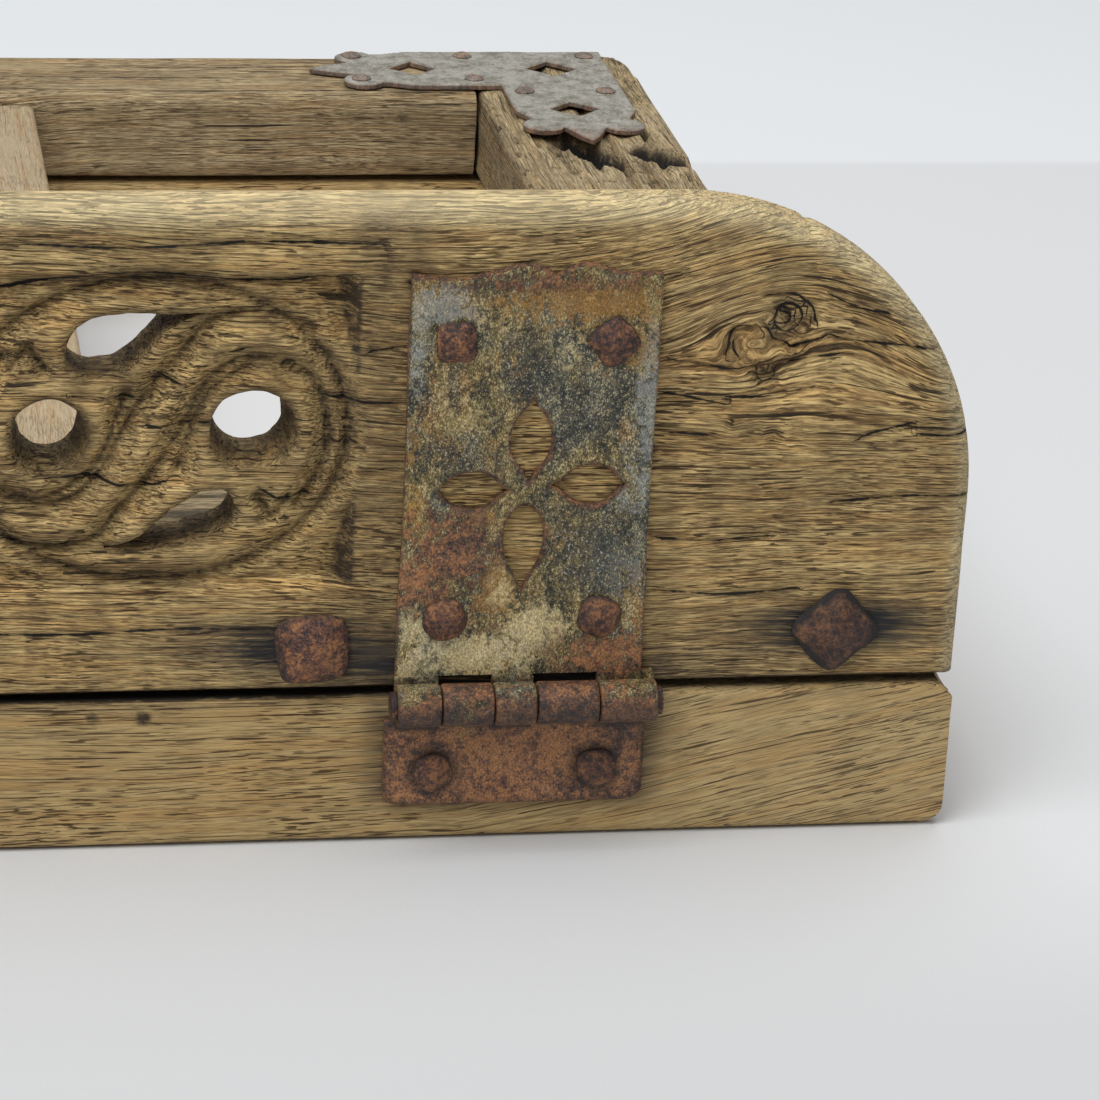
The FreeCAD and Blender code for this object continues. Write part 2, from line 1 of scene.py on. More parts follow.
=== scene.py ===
# %% [markdown]
# # An old oak collecting box with a carved front
# The box is a skeleton of two oak frames, hinged together under a tall carved board. Its exact solids arrive
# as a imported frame. This lesson dresses them: each rail, plate and nail gets the worn surface that the real
# one has, and every piece stays where the solid is, so that the lid can still swing.

# %% Load the frame
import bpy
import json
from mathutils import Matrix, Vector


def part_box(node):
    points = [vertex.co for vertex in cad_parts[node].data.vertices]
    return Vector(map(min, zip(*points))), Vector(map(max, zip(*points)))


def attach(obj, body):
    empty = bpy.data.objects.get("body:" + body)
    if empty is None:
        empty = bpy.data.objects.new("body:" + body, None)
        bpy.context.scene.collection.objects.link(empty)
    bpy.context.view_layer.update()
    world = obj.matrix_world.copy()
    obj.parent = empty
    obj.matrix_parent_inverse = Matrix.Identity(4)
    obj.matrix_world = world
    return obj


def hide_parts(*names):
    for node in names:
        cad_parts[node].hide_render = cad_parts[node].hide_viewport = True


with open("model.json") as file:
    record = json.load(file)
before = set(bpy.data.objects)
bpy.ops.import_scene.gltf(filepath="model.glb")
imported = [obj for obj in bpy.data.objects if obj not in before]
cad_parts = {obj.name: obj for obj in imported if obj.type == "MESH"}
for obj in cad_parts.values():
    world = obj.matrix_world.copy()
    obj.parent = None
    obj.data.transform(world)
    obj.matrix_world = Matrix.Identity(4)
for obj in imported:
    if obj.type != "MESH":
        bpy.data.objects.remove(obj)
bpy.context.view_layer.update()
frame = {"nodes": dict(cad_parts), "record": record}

# %% Units and helpers
import json

import bpy
import numpy as np
from mathutils import Matrix

MM = 0.001
scene = bpy.context.scene
scene.view_settings.view_transform = "Standard"


def box_mm(node):
    """Lowest and highest corner of a solid, in millimetres."""
    return np.array([list(corner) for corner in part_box(node)]) / MM


def set_up(name, data, side, up, back, spot):
    """Put a camera or lamp into the scene by its own three directions and its spot in millimetres."""
    thing = bpy.data.objects.new(name, data)
    scene.collection.objects.link(thing)
    pose = np.eye(4)
    pose[:3, :3] = np.stack([side, up, back], axis=1)
    pose[:3, 3] = np.array(spot) * MM
    thing.matrix_world = Matrix(pose.tolist())
    return thing


BOARD_LOW, BOARD_HIGH = box_mm("carved_front_board")
print("board from", BOARD_LOW.round(2), "to", BOARD_HIGH.round(2), "mm")

# %% [markdown]
# ## The camera
# The picture is a close view of the right half, from a little above and left of the middle. A camera can be
# placed by eye, but here its place and its three turns were worked out from the straight edges of the box, so
# they are written down as numbers: where it stands, how far it is turned, tipped and rolled, and its lens.

# %% Camera
CAMERA_SPOT = np.array((-29.1, -1094.15, 439.8))
YAW, PITCH, ROLL = np.radians((10.77, 22.23, 3.10))
FOCAL_PIXELS, PICTURE_PIXELS, SENSOR = 4232.0, 1100.0, 36.0

ahead = np.array((np.sin(YAW) * np.cos(PITCH), np.cos(YAW) * np.cos(PITCH), -np.sin(PITCH)))
level_right = np.array((np.cos(YAW), -np.sin(YAW), 0.0))
level_up = np.cross(level_right, ahead)
right = level_right * np.cos(ROLL) + level_up * np.sin(ROLL)
up = level_up * np.cos(ROLL) - level_right * np.sin(ROLL)

lens = bpy.data.cameras.new("camera")
lens.sensor_width, lens.lens, lens.clip_end = SENSOR, FOCAL_PIXELS / PICTURE_PIXELS * SENSOR, 20.0
scene.camera = set_up("camera", lens, right, up, -ahead, CAMERA_SPOT)
print(f"lens {lens.lens:.1f} mm, {np.linalg.norm(CAMERA_SPOT):.0f} mm from the box")

# %% [markdown]
# ## Node helpers
# A finish is a small network of nodes. Placing and wiring nodes one by one takes many lines, so a value that
# changes over the surface is wrapped here: it knows its tree, and adding, multiplying or stepping it places the
# node that does so. A finish can then be written almost like a formula.

# %% Node helpers


class Value:
    """A number, place or colour that changes over the surface, kept together with its node tree."""

    def __init__(self, tree, socket):
        self.tree, self.socket = tree, socket

    def step(self, operation, other=None, hold=False):
        """One step of arithmetic, held between 0 and 1 if asked."""
        return made(self.tree, "ShaderNodeMath", (self, other), operation=operation, use_clamp=hold)

    def __add__(self, other):
        return self.step("ADD", other)

    def __sub__(self, other):
        return self.step("SUBTRACT", other)

    def __mul__(self, other):
        return self.step("MULTIPLY", other)

    __rmul__ = __mul__

    def held(self, other):
        """Product with another value, held between 0 and 1."""
        return self.step("MULTIPLY", other, hold=True)

    def larger(self, other):
        """The larger of two values."""
        return self.step("MAXIMUM", other)

    def ramp(self, start, stop, low=0.0, high=1.0):
        """A soft step that goes from low at start to high at stop."""
        feeds = (self, start, stop, low, high)
        return made(self.tree, "ShaderNodeMapRange", feeds, interpolation_type="SMOOTHSTEP")

    def moved(self, by):
        """A place shifted by another."""
        return made(self.tree, "ShaderNodeVectorMath", (self, by), operation="ADD")

    def stretched(self, factors):
        """A place scaled along its three axes, so that a pattern is drawn out along the smallest factor."""
        return made(self.tree, "ShaderNodeVectorMath", (self, factors), operation="MULTIPLY")

    def axes(self):
        """The three numbers of a place."""
        return [Value(self.tree, socket) for socket in put(self.tree, "ShaderNodeSeparateXYZ", (self,)).outputs]

    def cloud(self, factors, detail=3.0, roughness=0.55, distortion=0.0, output=0):
        """Smooth random values from 0 to 1, in lumps one unit wide once the place is stretched."""
        feeds = {"Vector": self.stretched(factors), "Scale": 1.0, "Detail": detail, "Roughness": roughness,
                 "Distortion": distortion}
        return made(self.tree, "ShaderNodeTexNoise", feeds, output)

    def streaks(self, along, across, detail=3.0, roughness=0.55):
        """A cloud drawn out along the first axis, which is the way of the fibres."""
        return self.cloud((along, across, across), detail, roughness)

    def specks(self, factor, detail=3.0, roughness=0.55):
        """A cloud that is the same all ways."""
        return self.cloud((factor, factor, factor), detail, roughness)


def wire(node, feeds):
    """Feed a node's inputs, by position or by name, with numbers, colours or values."""
    for key, value in feeds.items() if isinstance(feeds, dict) else enumerate(feeds):
        if isinstance(value, Value):
            value.tree.links.new(value.socket, node.inputs[key])
        elif value is not None:
            node.inputs[key].default_value = value
    return node


def put(tree, kind, feeds=(), **options):
    """Place a node, set its options and feed its inputs."""
    node = tree.nodes.new(kind)
    for option, value in options.items():
        setattr(node, option, value)
    return wire(node, feeds)


def made(tree, kind, feeds=(), output=0, **options):
    """Place a node and take one of its outputs."""
    return Value(tree, put(tree, kind, feeds, **options).outputs[output])


def blended(share, first, second, way="MIX"):
    """Mix two colours by a share from 0 to 1."""
    tree = next(feed.tree for feed in (share, first, second) if isinstance(feed, Value))
    return made(tree, "ShaderNodeMix", {0: share, 6: first, 7: second}, 2, data_type="RGBA", blend_type=way)


def mark(tree, name, output="Fac"):
    """A number or place stored on the piece's own points."""
    return made(tree, "ShaderNodeAttribute", (), output, attribute_name=name)


def object_mm(tree):
    """The place on the part, in millimetres."""
    return made(tree, "ShaderNodeTexCoord", (), "Object").stretched((1 / MM, 1 / MM, 1 / MM))


def effect(name, colours, values, more=""):
    """Start a node group for several finishes: a Place, colours and values in; a Colour and values out."""
    group = bpy.data.node_groups.new(name, "ShaderNodeTree")
    sides = (("INPUT", "Vector", "Place"), ("INPUT", "Color", colours), ("INPUT", "Float", values),
             ("OUTPUT", "Color", "Colour"), ("OUTPUT", "Float", "Height " + more))
    for side, kind, labels in sides:
        for label in labels.split():
            group.interface.new_socket(label, in_out=side, socket_type="NodeSocket" + kind)
    given = put(group, "NodeGroupInput").outputs
    return group, {socket.name: Value(group, socket) for socket in given}


def use(group, place, **feeds):
    """Place an effect in a finish and take its outputs by name."""
    node = put(place.tree, "ShaderNodeGroup", node_tree=group)
    wire(node, {"Place": place, **feeds})
    return {socket.name: Value(place.tree, socket) for socket in node.outputs}


def finish_with(name, look, bump_depth):
    """Make a finish: look wires the tree and gives colour, roughness and height."""
    material = bpy.data.materials.new(name)
    material.use_nodes = True
    tree = material.node_tree
    colour, roughness, height = look(tree)
    relief = {"Strength": 1.0, "Distance": bump_depth * MM, "Height": height}
    bump = made(tree, "ShaderNodeBump", relief, "Normal")
    wire(tree.nodes["Principled BSDF"], {"Base Color": colour, "Roughness": roughness, "Normal": bump})
    return material


print("node helpers ready")

# %% [markdown]
# ## Floor and light
# The box stands on white paper under wide soft lamps. The paper is one large flat sheet with painted light on
# it:
# it is painted lighter beyond the line where the backdrop rose, and painted with shade towards the viewer.
# The light is an even glow from all round plus two broad lamps.
# The stronger one stands above, left and in front; the other hangs over the box and brightens the top faces.

# %% Floor
PAPER_HALF, PAPER_SINK = 4000.0, 0.3
PAPER_FOLD, FOLD_HALF = 320.0, 4.0
NEAR_EDGE, PAPER_MIDDLE = -330.0, -225.0

paper_mesh = bpy.data.meshes.new("paper_floor")
corners = np.array([(-1, -1), (1, -1), (1, 1), (-1, 1)]) * PAPER_HALF
paper_mesh.from_pydata(np.c_[corners, np.full(4, -PAPER_SINK)] * MM, [], [(0, 1, 2, 3)])
paper_floor = bpy.data.objects.new("paper_floor", paper_mesh)
scene.collection.objects.link(paper_floor)


def paper_look(tree):
    """White paper with a fine fibre, painted lighter behind its fold line and painted darker towards the
    viewer.
    """
    place = object_mm(tree)
    depth = place.axes()[1]
    further = depth.ramp(PAPER_FOLD - FOLD_HALF, PAPER_FOLD + FOLD_HALF)
    # painted light: the paper is lighter beyond the fold line, where the backdrop rose
    colour = blended(further, (0.715, 0.727, 0.742, 1), (0.79, 0.815, 0.84, 1))
    # painted shade: the paper is darkened towards its near edge
    colour = blended(1.0, colour, depth.ramp(NEAR_EDGE, PAPER_MIDDLE, 0.87, 1.0), "MULTIPLY")
    fibre = place.specks(0.9, 2.0)
    return colour, fibre.ramp(0, 1, 0.75, 0.9), fibre


paper_mesh.materials.append(finish_with("white_paper", paper_look, 0.05))
print("paper", 2 * PAPER_HALF * MM, "m wide")

# %% Light
GLOW, BACKDROP = 0.28, 0.76

scene.world = bpy.data.worlds.new("soft_glow")
scene.world.use_nodes = True
tree = scene.world.node_tree
seen, through = (made(tree, "ShaderNodeLightPath", (), f"Is {ray} Ray") for ray in ("Camera", "Transmission"))
glow = seen.larger(through).ramp(0.0, 1.0, GLOW, BACKDROP)
wire(tree.nodes["Background"], {"Color": (1.0, 1.0, 1.0, 1.0), "Strength": glow})


def soft_lamp(name, spot, target, width, power):
    """A square lamp at a spot, turned towards a target, both in millimetres."""
    light = bpy.data.lights.new(name, "AREA")
    light.size, light.energy = width * MM, power
    back = np.array(spot, float) - target
    back /= np.linalg.norm(back)
    side = np.cross((0.0, 1.0, 0.0), back)
    side /= np.linalg.norm(side)
    return set_up(name, light, side, np.cross(back, side), back, spot)


lamps = [
    soft_lamp("front_lamp", (-800, -1000, 2000), (60, -60, 0), 1500, 33.0),
    soft_lamp("top_lamp", (330, 330, 2150), (150, 100, 0), 1600, 22.0),
]
print("lamps:", [lamp.name for lamp in lamps])

# %% [markdown]
# ## Surfaces from numbers
# Worn wood and forged iron have no flat faces, so each piece here is a surface worked out on a grid: a place
# for every pair of row and column. Three tools serve them all. One gives smooth random heights, so that
# nothing is perfectly even. One numbers the faces of a grid. One hands the points to Blender, with extra
# marks on each point that the finishes read, such as where the grain runs.

# %% Smooth random heights


def corner_values(cells, seed):
    """A steady random value from -1 to 1 for each whole-number cell corner, from mixed-up bits."""
    bits = (cells.astype(np.int64) * np.array((374761393, 668265263, 1440662683))).sum(-1) + seed * 362437
    bits = (bits ^ (bits >> 13)) & 0xFFFFFFFF
    bits = (bits * 1274126177) & 0xFFFFFFFF
    bits = bits ^ (bits >> 16)
    return (bits & 0xFFFF) / 32767.5 - 1.0


def soft_step(value, start, stop):
    """0 before start, 1 after stop, and a smooth S between."""
    share = np.clip((value - start) / (stop - start), 0.0, 1.0)
    return share * share * (3.0 - 2.0 * share)


def wander(points, sizes, seed):
    """Smooth random heights: values on the corners of a lattice of these sizes, blended inside each cell."""
    scaled = np.asarray(points, float) / np.asarray(sizes, float)
    cell = np.floor(scaled)
    share = soft_step(scaled - cell, 0.0, 1.0)
    total = np.zeros(len(scaled))
    for corner in np.ndindex(2, 2, 2):
        weight = np.prod(np.where(corner, share, 1.0 - share), axis=1)
        total += weight * corner_values(cell + np.array(corner), seed)
    return total


def dents(points, sizes, seed):
    """Wander that only goes one way, from 0 to 2, for wear that takes material off."""
    return 1 + wander(points, sizes, seed)


def bell(away, width):
    """1 at no distance, falling to nothing over about two widths."""
    return np.exp(-(away / width)**2)


sample = wander(np.random.default_rng(1).uniform(-90, 90, (2000, 3)), 10.0, 3)
print("random heights from", sample.min().round(2), "to", sample.max().round(2))

# %% Grids and meshes


def grid_quads(rows, columns, closed=False):
    """Faces of a grid of points numbered row by row; closed joins the last column to the first."""
    row, column = np.mgrid[0:rows - 1, 0:columns if closed else columns - 1]
    following = (column + 1) % columns
    first, below = row * columns, (row + 1) * columns
    return np.stack([first + column, first + following, below + following, below + column], -1).reshape(-1, 4)


def tube_ends(rows, around, first, last):
    """Three-cornered faces that close the first and last row of a tube to the points first and last."""
    turn = np.arange(around)
    following = (turn + 1) % around
    row = (rows - 1) * around
    return np.concatenate([np.c_[np.full(around, first), following, turn],
                           np.c_[np.full(around, last), row + turn, row + following]])


def point_normals(points, quads):
    """Outward direction at each point: the cross product of each face's diagonals, summed at its corners."""
    span = np.cross(points[quads[:, 2]] - points[quads[:, 0]], points[quads[:, 3]] - points[quads[:, 1]])
    total = np.zeros_like(points)
    for corner in range(quads.shape[1]):
        np.add.at(total, quads[:, corner], span)
    return total / np.maximum(np.linalg.norm(total, axis=1, keepdims=True), 1e-9)


def merged(parts):
    """Put several (points, faces) shells into one list of points and faces."""
    points, faces, start = [], [], 0
    for shell_points, shell_faces in parts:
        points.append(shell_points)
        faces += [[corner + start for corner in face] for face in shell_faces]
        start += len(shell_points)
    return np.concatenate(points), faces


def mirrored(points, faces):
    """The mirror image in X = 0, with the corner order turned so that faces still point outwards."""
    return points * (-1, 1, 1), [list(face)[::-1] for face in faces]


def finished_piece(node, points, faces, finish, marks, sharp=42.0):
    """Make the worn piece that stands for a solid: same place and same body, with the solid hidden."""
    mesh = bpy.data.meshes.new("worn_" + node)
    mesh.from_pydata(np.asarray(points, float) * MM, [], [list(face) for face in faces])
    mesh.update()
    for label, values in marks.items():
        values = np.asarray(values, np.float32)
        vector = values.ndim == 2
        store = mesh.attributes.new(label, "FLOAT_VECTOR" if vector else "FLOAT", "POINT")
        store.data.foreach_set("vector" if vector else "value", values.ravel())
    mesh.shade_smooth()
    mesh.set_sharp_from_angle(angle=np.radians(sharp))
    mesh.materials.append(finish)
    piece = bpy.data.objects.new("worn_" + node, mesh)
    scene.collection.objects.link(piece)
    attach(piece, BODY_OF[node])
    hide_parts(node)
    print(f"{piece.name}: {len(points)} points, {len(faces)} faces")


def finished_pair(stem, points, faces, finish, marks, sharp=42.0):
    """Make a right-hand piece and its mirror image on the left."""
    finished_piece(stem + "_right", points, faces, finish, marks, sharp)
    finished_piece(stem + "_left", *mirrored(points, faces), finish, marks, sharp)


BODY_OF = {node: body for body, nodes in frame["record"]["behaviour"]["bodies"].items() for node in nodes}

# %% [markdown]
# ## Weathered oak
# Oak shows long pores, paler bands between them and dark drying cracks, all drawn out along the fibres. A photo
# could be projected on, but it would only fit one side. Here the pattern is worked out in the wood's own
# measure: every point carries a mark called grain, its place along, across and into the fibres in
# millimetres. Noise that is stretched along the first axis then gives streaks that follow the timber, also
# where it swirls round a knot. The effect is one node group that all the oak pieces share.

# %% Oak grain effect
CRACK_BLACK, RUDDY = (0.018, 0.011, 0.006, 1), (0.98, 0.89, 0.79, 1)

oak_grain, given = effect("oak_grain", "Pale Brown Pore", "Pores Cracks Ripple", "Dark")
place = given["Place"]
drift = place.cloud((0.012, 0.03, 0.03), 2.0, 0.5, output="Color")
waved = place.moved(drift.moved((-0.5, -0.5, -0.5)).stretched((0.0, 7.0, 7.0)))
bands = waved.streaks(0.008, 0.17, 3.0, 0.6)
fibres = waved.streaks(0.06, 2.3, 4.0, 0.65).ramp(0.34, 0.66)
threads = waved.streaks(0.25, 4.4, 2.0, 0.6).ramp(0.34, 0.66)

# year lines: every 1.24 mm across the fibres, swaying, thick and thin by turns
_, across, inward = waved.axes()
sway = waved.streaks(0.022, 0.33, 2.0)
gap = (0.9 * across + inward + 4.0 * sway).step("PINGPONG", 0.62)
thick = waved.streaks(0.036, 0.9, 3.0, 0.6).ramp(0.40, 0.68, -0.085, 0.13)
lines = (gap - thick).ramp(0.0, 0.07, 1.0, 0.0).held(given["Pores"])

# short pores in clusters, and long drying cracks that break off
pores = waved.streaks(0.20, 2.6, 1.0, 0.5).ramp(0.585, 0.62)
pores = (pores * place.streaks(0.07, 0.035, 2.0).ramp(0.40, 0.60, 0.25, 1.0)).held(given["Pores"])
checks = waved.streaks(0.032, 0.85, 2.0, 0.5).ramp(0.645, 0.665)
checks = (checks * place.streaks(0.012, 0.04, 2.0).ramp(0.38, 0.56)).held(given["Cracks"])

tone = 0.38 * fibres + 0.54 * bands + 0.32 * threads
shade = blended(tone.ramp(0.30, 1.00), given["Brown"], given["Pale"])
warm = waved.streaks(0.02, 0.35, 3.0, 0.6).ramp(0.46, 0.62)
shade = blended(warm, shade, blended(1.0, shade, RUDDY, "MULTIPLY"))
ripple = place.streaks(0.13, 0.025, 2.0, 0.5).ramp(0.34, 0.66, 0.86, 1.12)
shade = blended(given["Ripple"], shade, ripple, "MULTIPLY")
shade = blended(0.92 * lines, shade, given["Pore"])
shade = blended(0.85 * pores, shade, given["Pore"])
shade = blended(0.92 * checks, shade, CRACK_BLACK)
cuts = (0.55 * lines).larger(0.45 * pores).larger(1.4 * checks)
height = 0.24 * fibres + 0.12 * threads - cuts
dark = pores.larger(lines).larger(checks)
put(oak_grain, "NodeGroupOutput", {"Colour": shade, "Height": height, "Dark": dark})
print("oak grain:", len(oak_grain.nodes), "nodes")

# %% [markdown]
# ## Age and painted shade on the wood
# Three things make the oak look old: dirt that stays in hollows, edges that hands and weather have bleached,
# and black stains where iron has reacted with the wood. Each is a mark on the points, and this effect lays
# them over the grain in that order. The hollow mark also carries painted shade in grooves, gaps and corners;
# above 1 it paints the wood nearly black, as painted shadow. The stain mark also holds painted shadow at each
# hinge's foot.

# %% Old wood and painted shade effect
DIRT_AND_SHADE, SUN_BLEACHED, IRON_STAIN_AND_SHADOW = (0.045, 0.027, 0.011, 1), (0.59, 0.50, 0.30, 1), (0.022, 0.019, 0.018, 1)
FADE = (1.45, 1.65, 2.05, 1)

aged_wood_and_shade, given = effect("aged_wood_and_shade", "Wood", "Hollow Stain Bleach")
place, hollow = given["Place"], given["Hollow"]
# dirt and painted shade share this mark and this colour
dirt_and_shade = hollow.held(place.streaks(0.30, 0.45, 4.0, 0.65).ramp(0.30, 0.66, 0.50, 1.15))
shade = blended(dirt_and_shade, given["Wood"], DIRT_AND_SHADE)
# painted shadow: where the hollow mark is above 1, the colour is darkened towards black
shade = blended(1.0, shade, hollow.ramp(1.05, 1.70, 1.0, 0.15), "MULTIPLY")
faded = blended(0.6, blended(1.0, shade, FADE, "MULTIPLY"), SUN_BLEACHED)
shade = blended(given["Bleach"], shade, faded)
# the stain mark is iron stain, and at the foot of each hinge painted shadow
stain = given["Stain"].held(place.streaks(0.03, 0.75, 3.0, 0.6).ramp(0.30, 0.62, 0.55, 1.25))
shade = blended(stain, shade, IRON_STAIN_AND_SHADOW)
torn = place.streaks(0.85, 1.1, 3.0, 0.7)
put(aged_wood_and_shade, "NodeGroupOutput", {"Colour": shade, "Height": torn * hollow})
print("old wood:", len(aged_wood_and_shade.nodes), "nodes")

# %% Oak finishes
PORE = (0.054, 0.027, 0.008, 1)
SPLIT_LIP, SPLIT_BLACK = (0.060, 0.038, 0.018, 1), (0.010, 0.007, 0.004, 1)


def oak_finish(name, bump, **grain_feeds):
    """An oak finish that follows the grain mark and shows the hollow, stain, bleach and split marks."""
    def look(tree):
        place = mark(tree, "grain", "Vector")
        grain = use(oak_grain, place, Pore=PORE, **grain_feeds)
        marks = {label: mark(tree, label.lower()) for label in ("Hollow", "Stain", "Bleach")}
        aged = use(aged_wood_and_shade, place, Wood=grain["Colour"], **marks)
        width = place.streaks(0.16, 0.20, 2.0).ramp(0.32, 0.68, -0.17, 0.22)
        width += place.streaks(0.5, 1.2, 3.0).ramp(0.2, 0.8, -0.15, 0.15)
        beyond = mark(tree, "split").step("ABSOLUTE") - width
        near = mark(tree, "split_away").ramp(1.2, 2.2, 1.0, 0.0)
        split = beyond.ramp(0.0, 0.22, 1.0, 0.0) * near
        colour = blended(beyond.ramp(0.1, 1.6, 0.35, 0.0) * near, aged["Colour"], SPLIT_LIP)
        colour = blended(split, colour, SPLIT_BLACK)
        height = grain["Height"] - 2.4 * split + 1.3 * aged["Height"]
        return colour, grain["Dark"].ramp(0.0, 1.0, 0.66, 0.92), height
    return finish_with(name, look, bump)


oak_board = oak_finish("carved_oak", 0.72, Pale=(0.92, 0.660, 0.280, 1), Brown=(0.220, 0.132, 0.046, 1),
                       Pores=1.0, Cracks=1.0, Ripple=1.0)
oak_lid = oak_finish("lid_oak", 0.5, Pale=(0.65, 0.502, 0.280, 1), Brown=(0.208, 0.143, 0.066, 1),
                     Pores=0.85, Cracks=1.0, Ripple=0.6)
oak_base = oak_finish("base_oak", 0.40, Pale=(0.670, 0.479, 0.210, 1), Brown=(0.415, 0.280, 0.113, 1),
                      Pores=1.0, Cracks=0.30, Ripple=0.35)
oak_divider = oak_finish("divider_oak", 0.3, Pale=(0.54, 0.430, 0.280, 1), Brown=(0.40, 0.305, 0.182, 1),
                         Pores=0.40, Cracks=0.2, Ripple=0.25)
print("oak finishes:", [finish.name for finish in (oak_board, oak_lid, oak_base, oak_divider)])

# %% [markdown]
# ## Curves for the carver
# A carver draws the roundel first: an oval, an S that runs through its middle, spirals round two eyes, and two
# comma-shaped openings. Each line is a handful of points with a smooth curve through them. What the carving
# needs is only how far every point of the board is from each line.

# %% Curves and distances


def smooth_curve(points, steps=8, closed=False):
    """A smooth curve through points: between two points, a cubic that leaves along their neighbours' chord."""
    points = np.asarray(points, float)
    if closed:
        padded = np.concatenate([points[-1:], points, points[:2]])
    else:
        padded = np.concatenate([2 * points[:1] - points[1:2], points, 2 * points[-1:] - points[-2:-1]])
    t = np.linspace(0, 1, steps, endpoint=False)[None, :, None]
    a, b, c, d = (padded[k:len(padded) - 3 + k, None, :] for k in range(4))
    curve = 0.5 * (2 * b + (c - a) * t + (2 * a - 5 * b + 4 * c - d) * t**2 + (3 * b - a - 3 * c + d) * t**3)
    curve = curve.reshape(-1, points.shape[1])
    return curve if closed else np.concatenate([curve, points[-1:]])


def to_line(points, line):
    """Distance of each point to a line of short straight runs, and the side it lies on, +1 left or -1 right."""
    start, run = line[:-1], np.diff(line, axis=0)
    offset = points[:, None, :] - start[None]
    share = np.clip((offset * run).sum(-1) / np.maximum((run * run).sum(-1), 1e-12), 0.0, 1.0)
    gap = offset - share[..., None] * run
    away = np.hypot(gap[..., 0], gap[..., 1])
    nearest = away.argmin(1)
    every = np.arange(len(points))
    cross = run[nearest, 0] * offset[every, nearest, 1] - run[nearest, 1] * offset[every, nearest, 0]
    return away[every, nearest], np.where(cross >= 0, 1.0, -1.0)


def near_line(points, line, reach):
    """Which points lie within reach of a line's own rectangle."""
    return np.flatnonzero(((points > line.min(0) - reach) & (points < line.max(0) + reach)).all(1))


def inside_loop(points, loop, reach=12.0):
    """Distance to a closed loop, positive inside; points further off than the reach just count as outside."""
    result = np.full(len(points), -reach)
    near = near_line(points, loop, reach)
    if len(near) == 0:
        return result
    spots, ends = points[near], np.roll(loop, -1, axis=0)
    away, _ = to_line(spots, np.concatenate([loop, loop[:1]]))
    rises = (loop[None, :, 1] > spots[:, None, 1]) != (ends[None, :, 1] > spots[:, None, 1])
    slope = (spots[:, None, 1] - loop[None, :, 1]) / (ends[:, 1] - loop[:, 1] + 1e-12)[None]
    crossed = rises & (spots[:, None, 0] < loop[None, :, 0] + slope * (ends - loop)[None, :, 0])
    result[near] = np.where(crossed.sum(1) % 2 == 1, away, -np.minimum(away, reach))
    return result


def inside_any(points, loops, reach=12.0):
    """How far a place is inside the nearest of several loops, negative outside them all."""
    return np.max([inside_loop(points, loop, reach) for loop in loops], axis=0)


def ellipse(middle, half_x, half_y, steps=72):
    """Points round an ellipse."""
    turn = np.linspace(0, 2 * np.pi, steps, endpoint=False)
    return np.c_[middle[0] + half_x * np.cos(turn), middle[1] + half_y * np.sin(turn)]


def edge_fall(away, radius):
    """How far a rounded edge falls back at this distance in from the outline: a quarter circle."""
    short = np.clip(radius - away, 0.0, radius)
    return radius - np.sqrt(radius**2 - short**2)


def on_plane(spots):
    """Plane places with a third number of zero, as the random heights need three."""
    return np.c_[spots, 0 * spots[:, 0]]


print("ellipse of", len(ellipse((0, 0), 2, 1)), "points")

# %% [markdown]
# ## Sheets with openings
# The carved board, the hinge leaves and the corner brackets are all sheets with openings. Boolean cuts leave
# ragged triangles, so the openings are made in the grid itself: cells whose middle lies outside the shape are
# dropped, the points along the new edge slide onto the exact outline, and a wall joins the front to the back.

# %% Pierced sheet
SLIDES, PROBE, LONGEST_SLIDE = 5, 0.02, 0.8


def pierced_sheet(flat, shape):
    """A sheet from a grid of plane points (rows, columns, 2) and a shape that is positive inside the sheet.

    Returns plane points, front faces, and wall faces that join point k to point k + count, the same place on
    the back. Points next to a dropped cell move along the shape's own slope until the shape is zero there.
    """
    rows, columns = flat.shape[:2]
    spots = flat.reshape(-1, 2).copy()
    quads = grid_quads(rows, columns)
    kept = shape(spots[quads].mean(1)) > 0
    edge = np.intersect1d(np.unique(quads[kept]), np.unique(quads[~kept]))
    for _ in range(SLIDES):
        here = spots[edge]
        value = shape(here)
        slope = np.stack([shape(here + d) - shape(here - d) for d in np.eye(2) * PROBE], -1) / (2 * PROBE)
        step = value[:, None] * slope / np.maximum((slope * slope).sum(-1, keepdims=True), 0.2)
        spots[edge] = here - np.clip(step, -LONGEST_SLIDE, LONGEST_SLIDE)
    used, faces = np.unique(quads[kept], return_inverse=True)
    faces = faces.reshape(-1, 4)
    count = len(used)
    runs = np.concatenate([faces[:, [k, (k + 1) % 4]] for k in range(4)])
    rim = runs[~np.isin(runs[:, 0] * count + runs[:, 1], runs[:, 1] * count + runs[:, 0])]
    walls = np.stack([rim[:, 1], rim[:, 0], rim[:, 0] + count, rim[:, 1] + count], -1)
    return spots[used], faces, walls


def sheet_shell(spots, faces, walls, front, back, stand, back_spots=None):
    """Close a sheet with front and back heights; stand puts plane places and heights into the part."""
    points = np.concatenate([stand(spots, front), stand(spots if back_spots is None else back_spots, back)])
    return points, np.concatenate([faces, faces[:, ::-1] + len(spots), walls])


def upright(y):
    """Stand a sheet on a plane that faces the front at this depth: heights come towards the viewer."""
    return lambda spots, height: np.c_[spots[:, 0], y - height, spots[:, 1]]


print("pierced sheet ready")

# %% [markdown]
# ## The carved front board
# The board is a plank with round shoulders. Its two roundels mirror each other: bands as soft as cushions
# between V-shaped grooves, two eyes and two commas cut right through, and sunk corners chopped in with a
# chisel. One height over the front face holds all of it, as the deepest of many grooves.

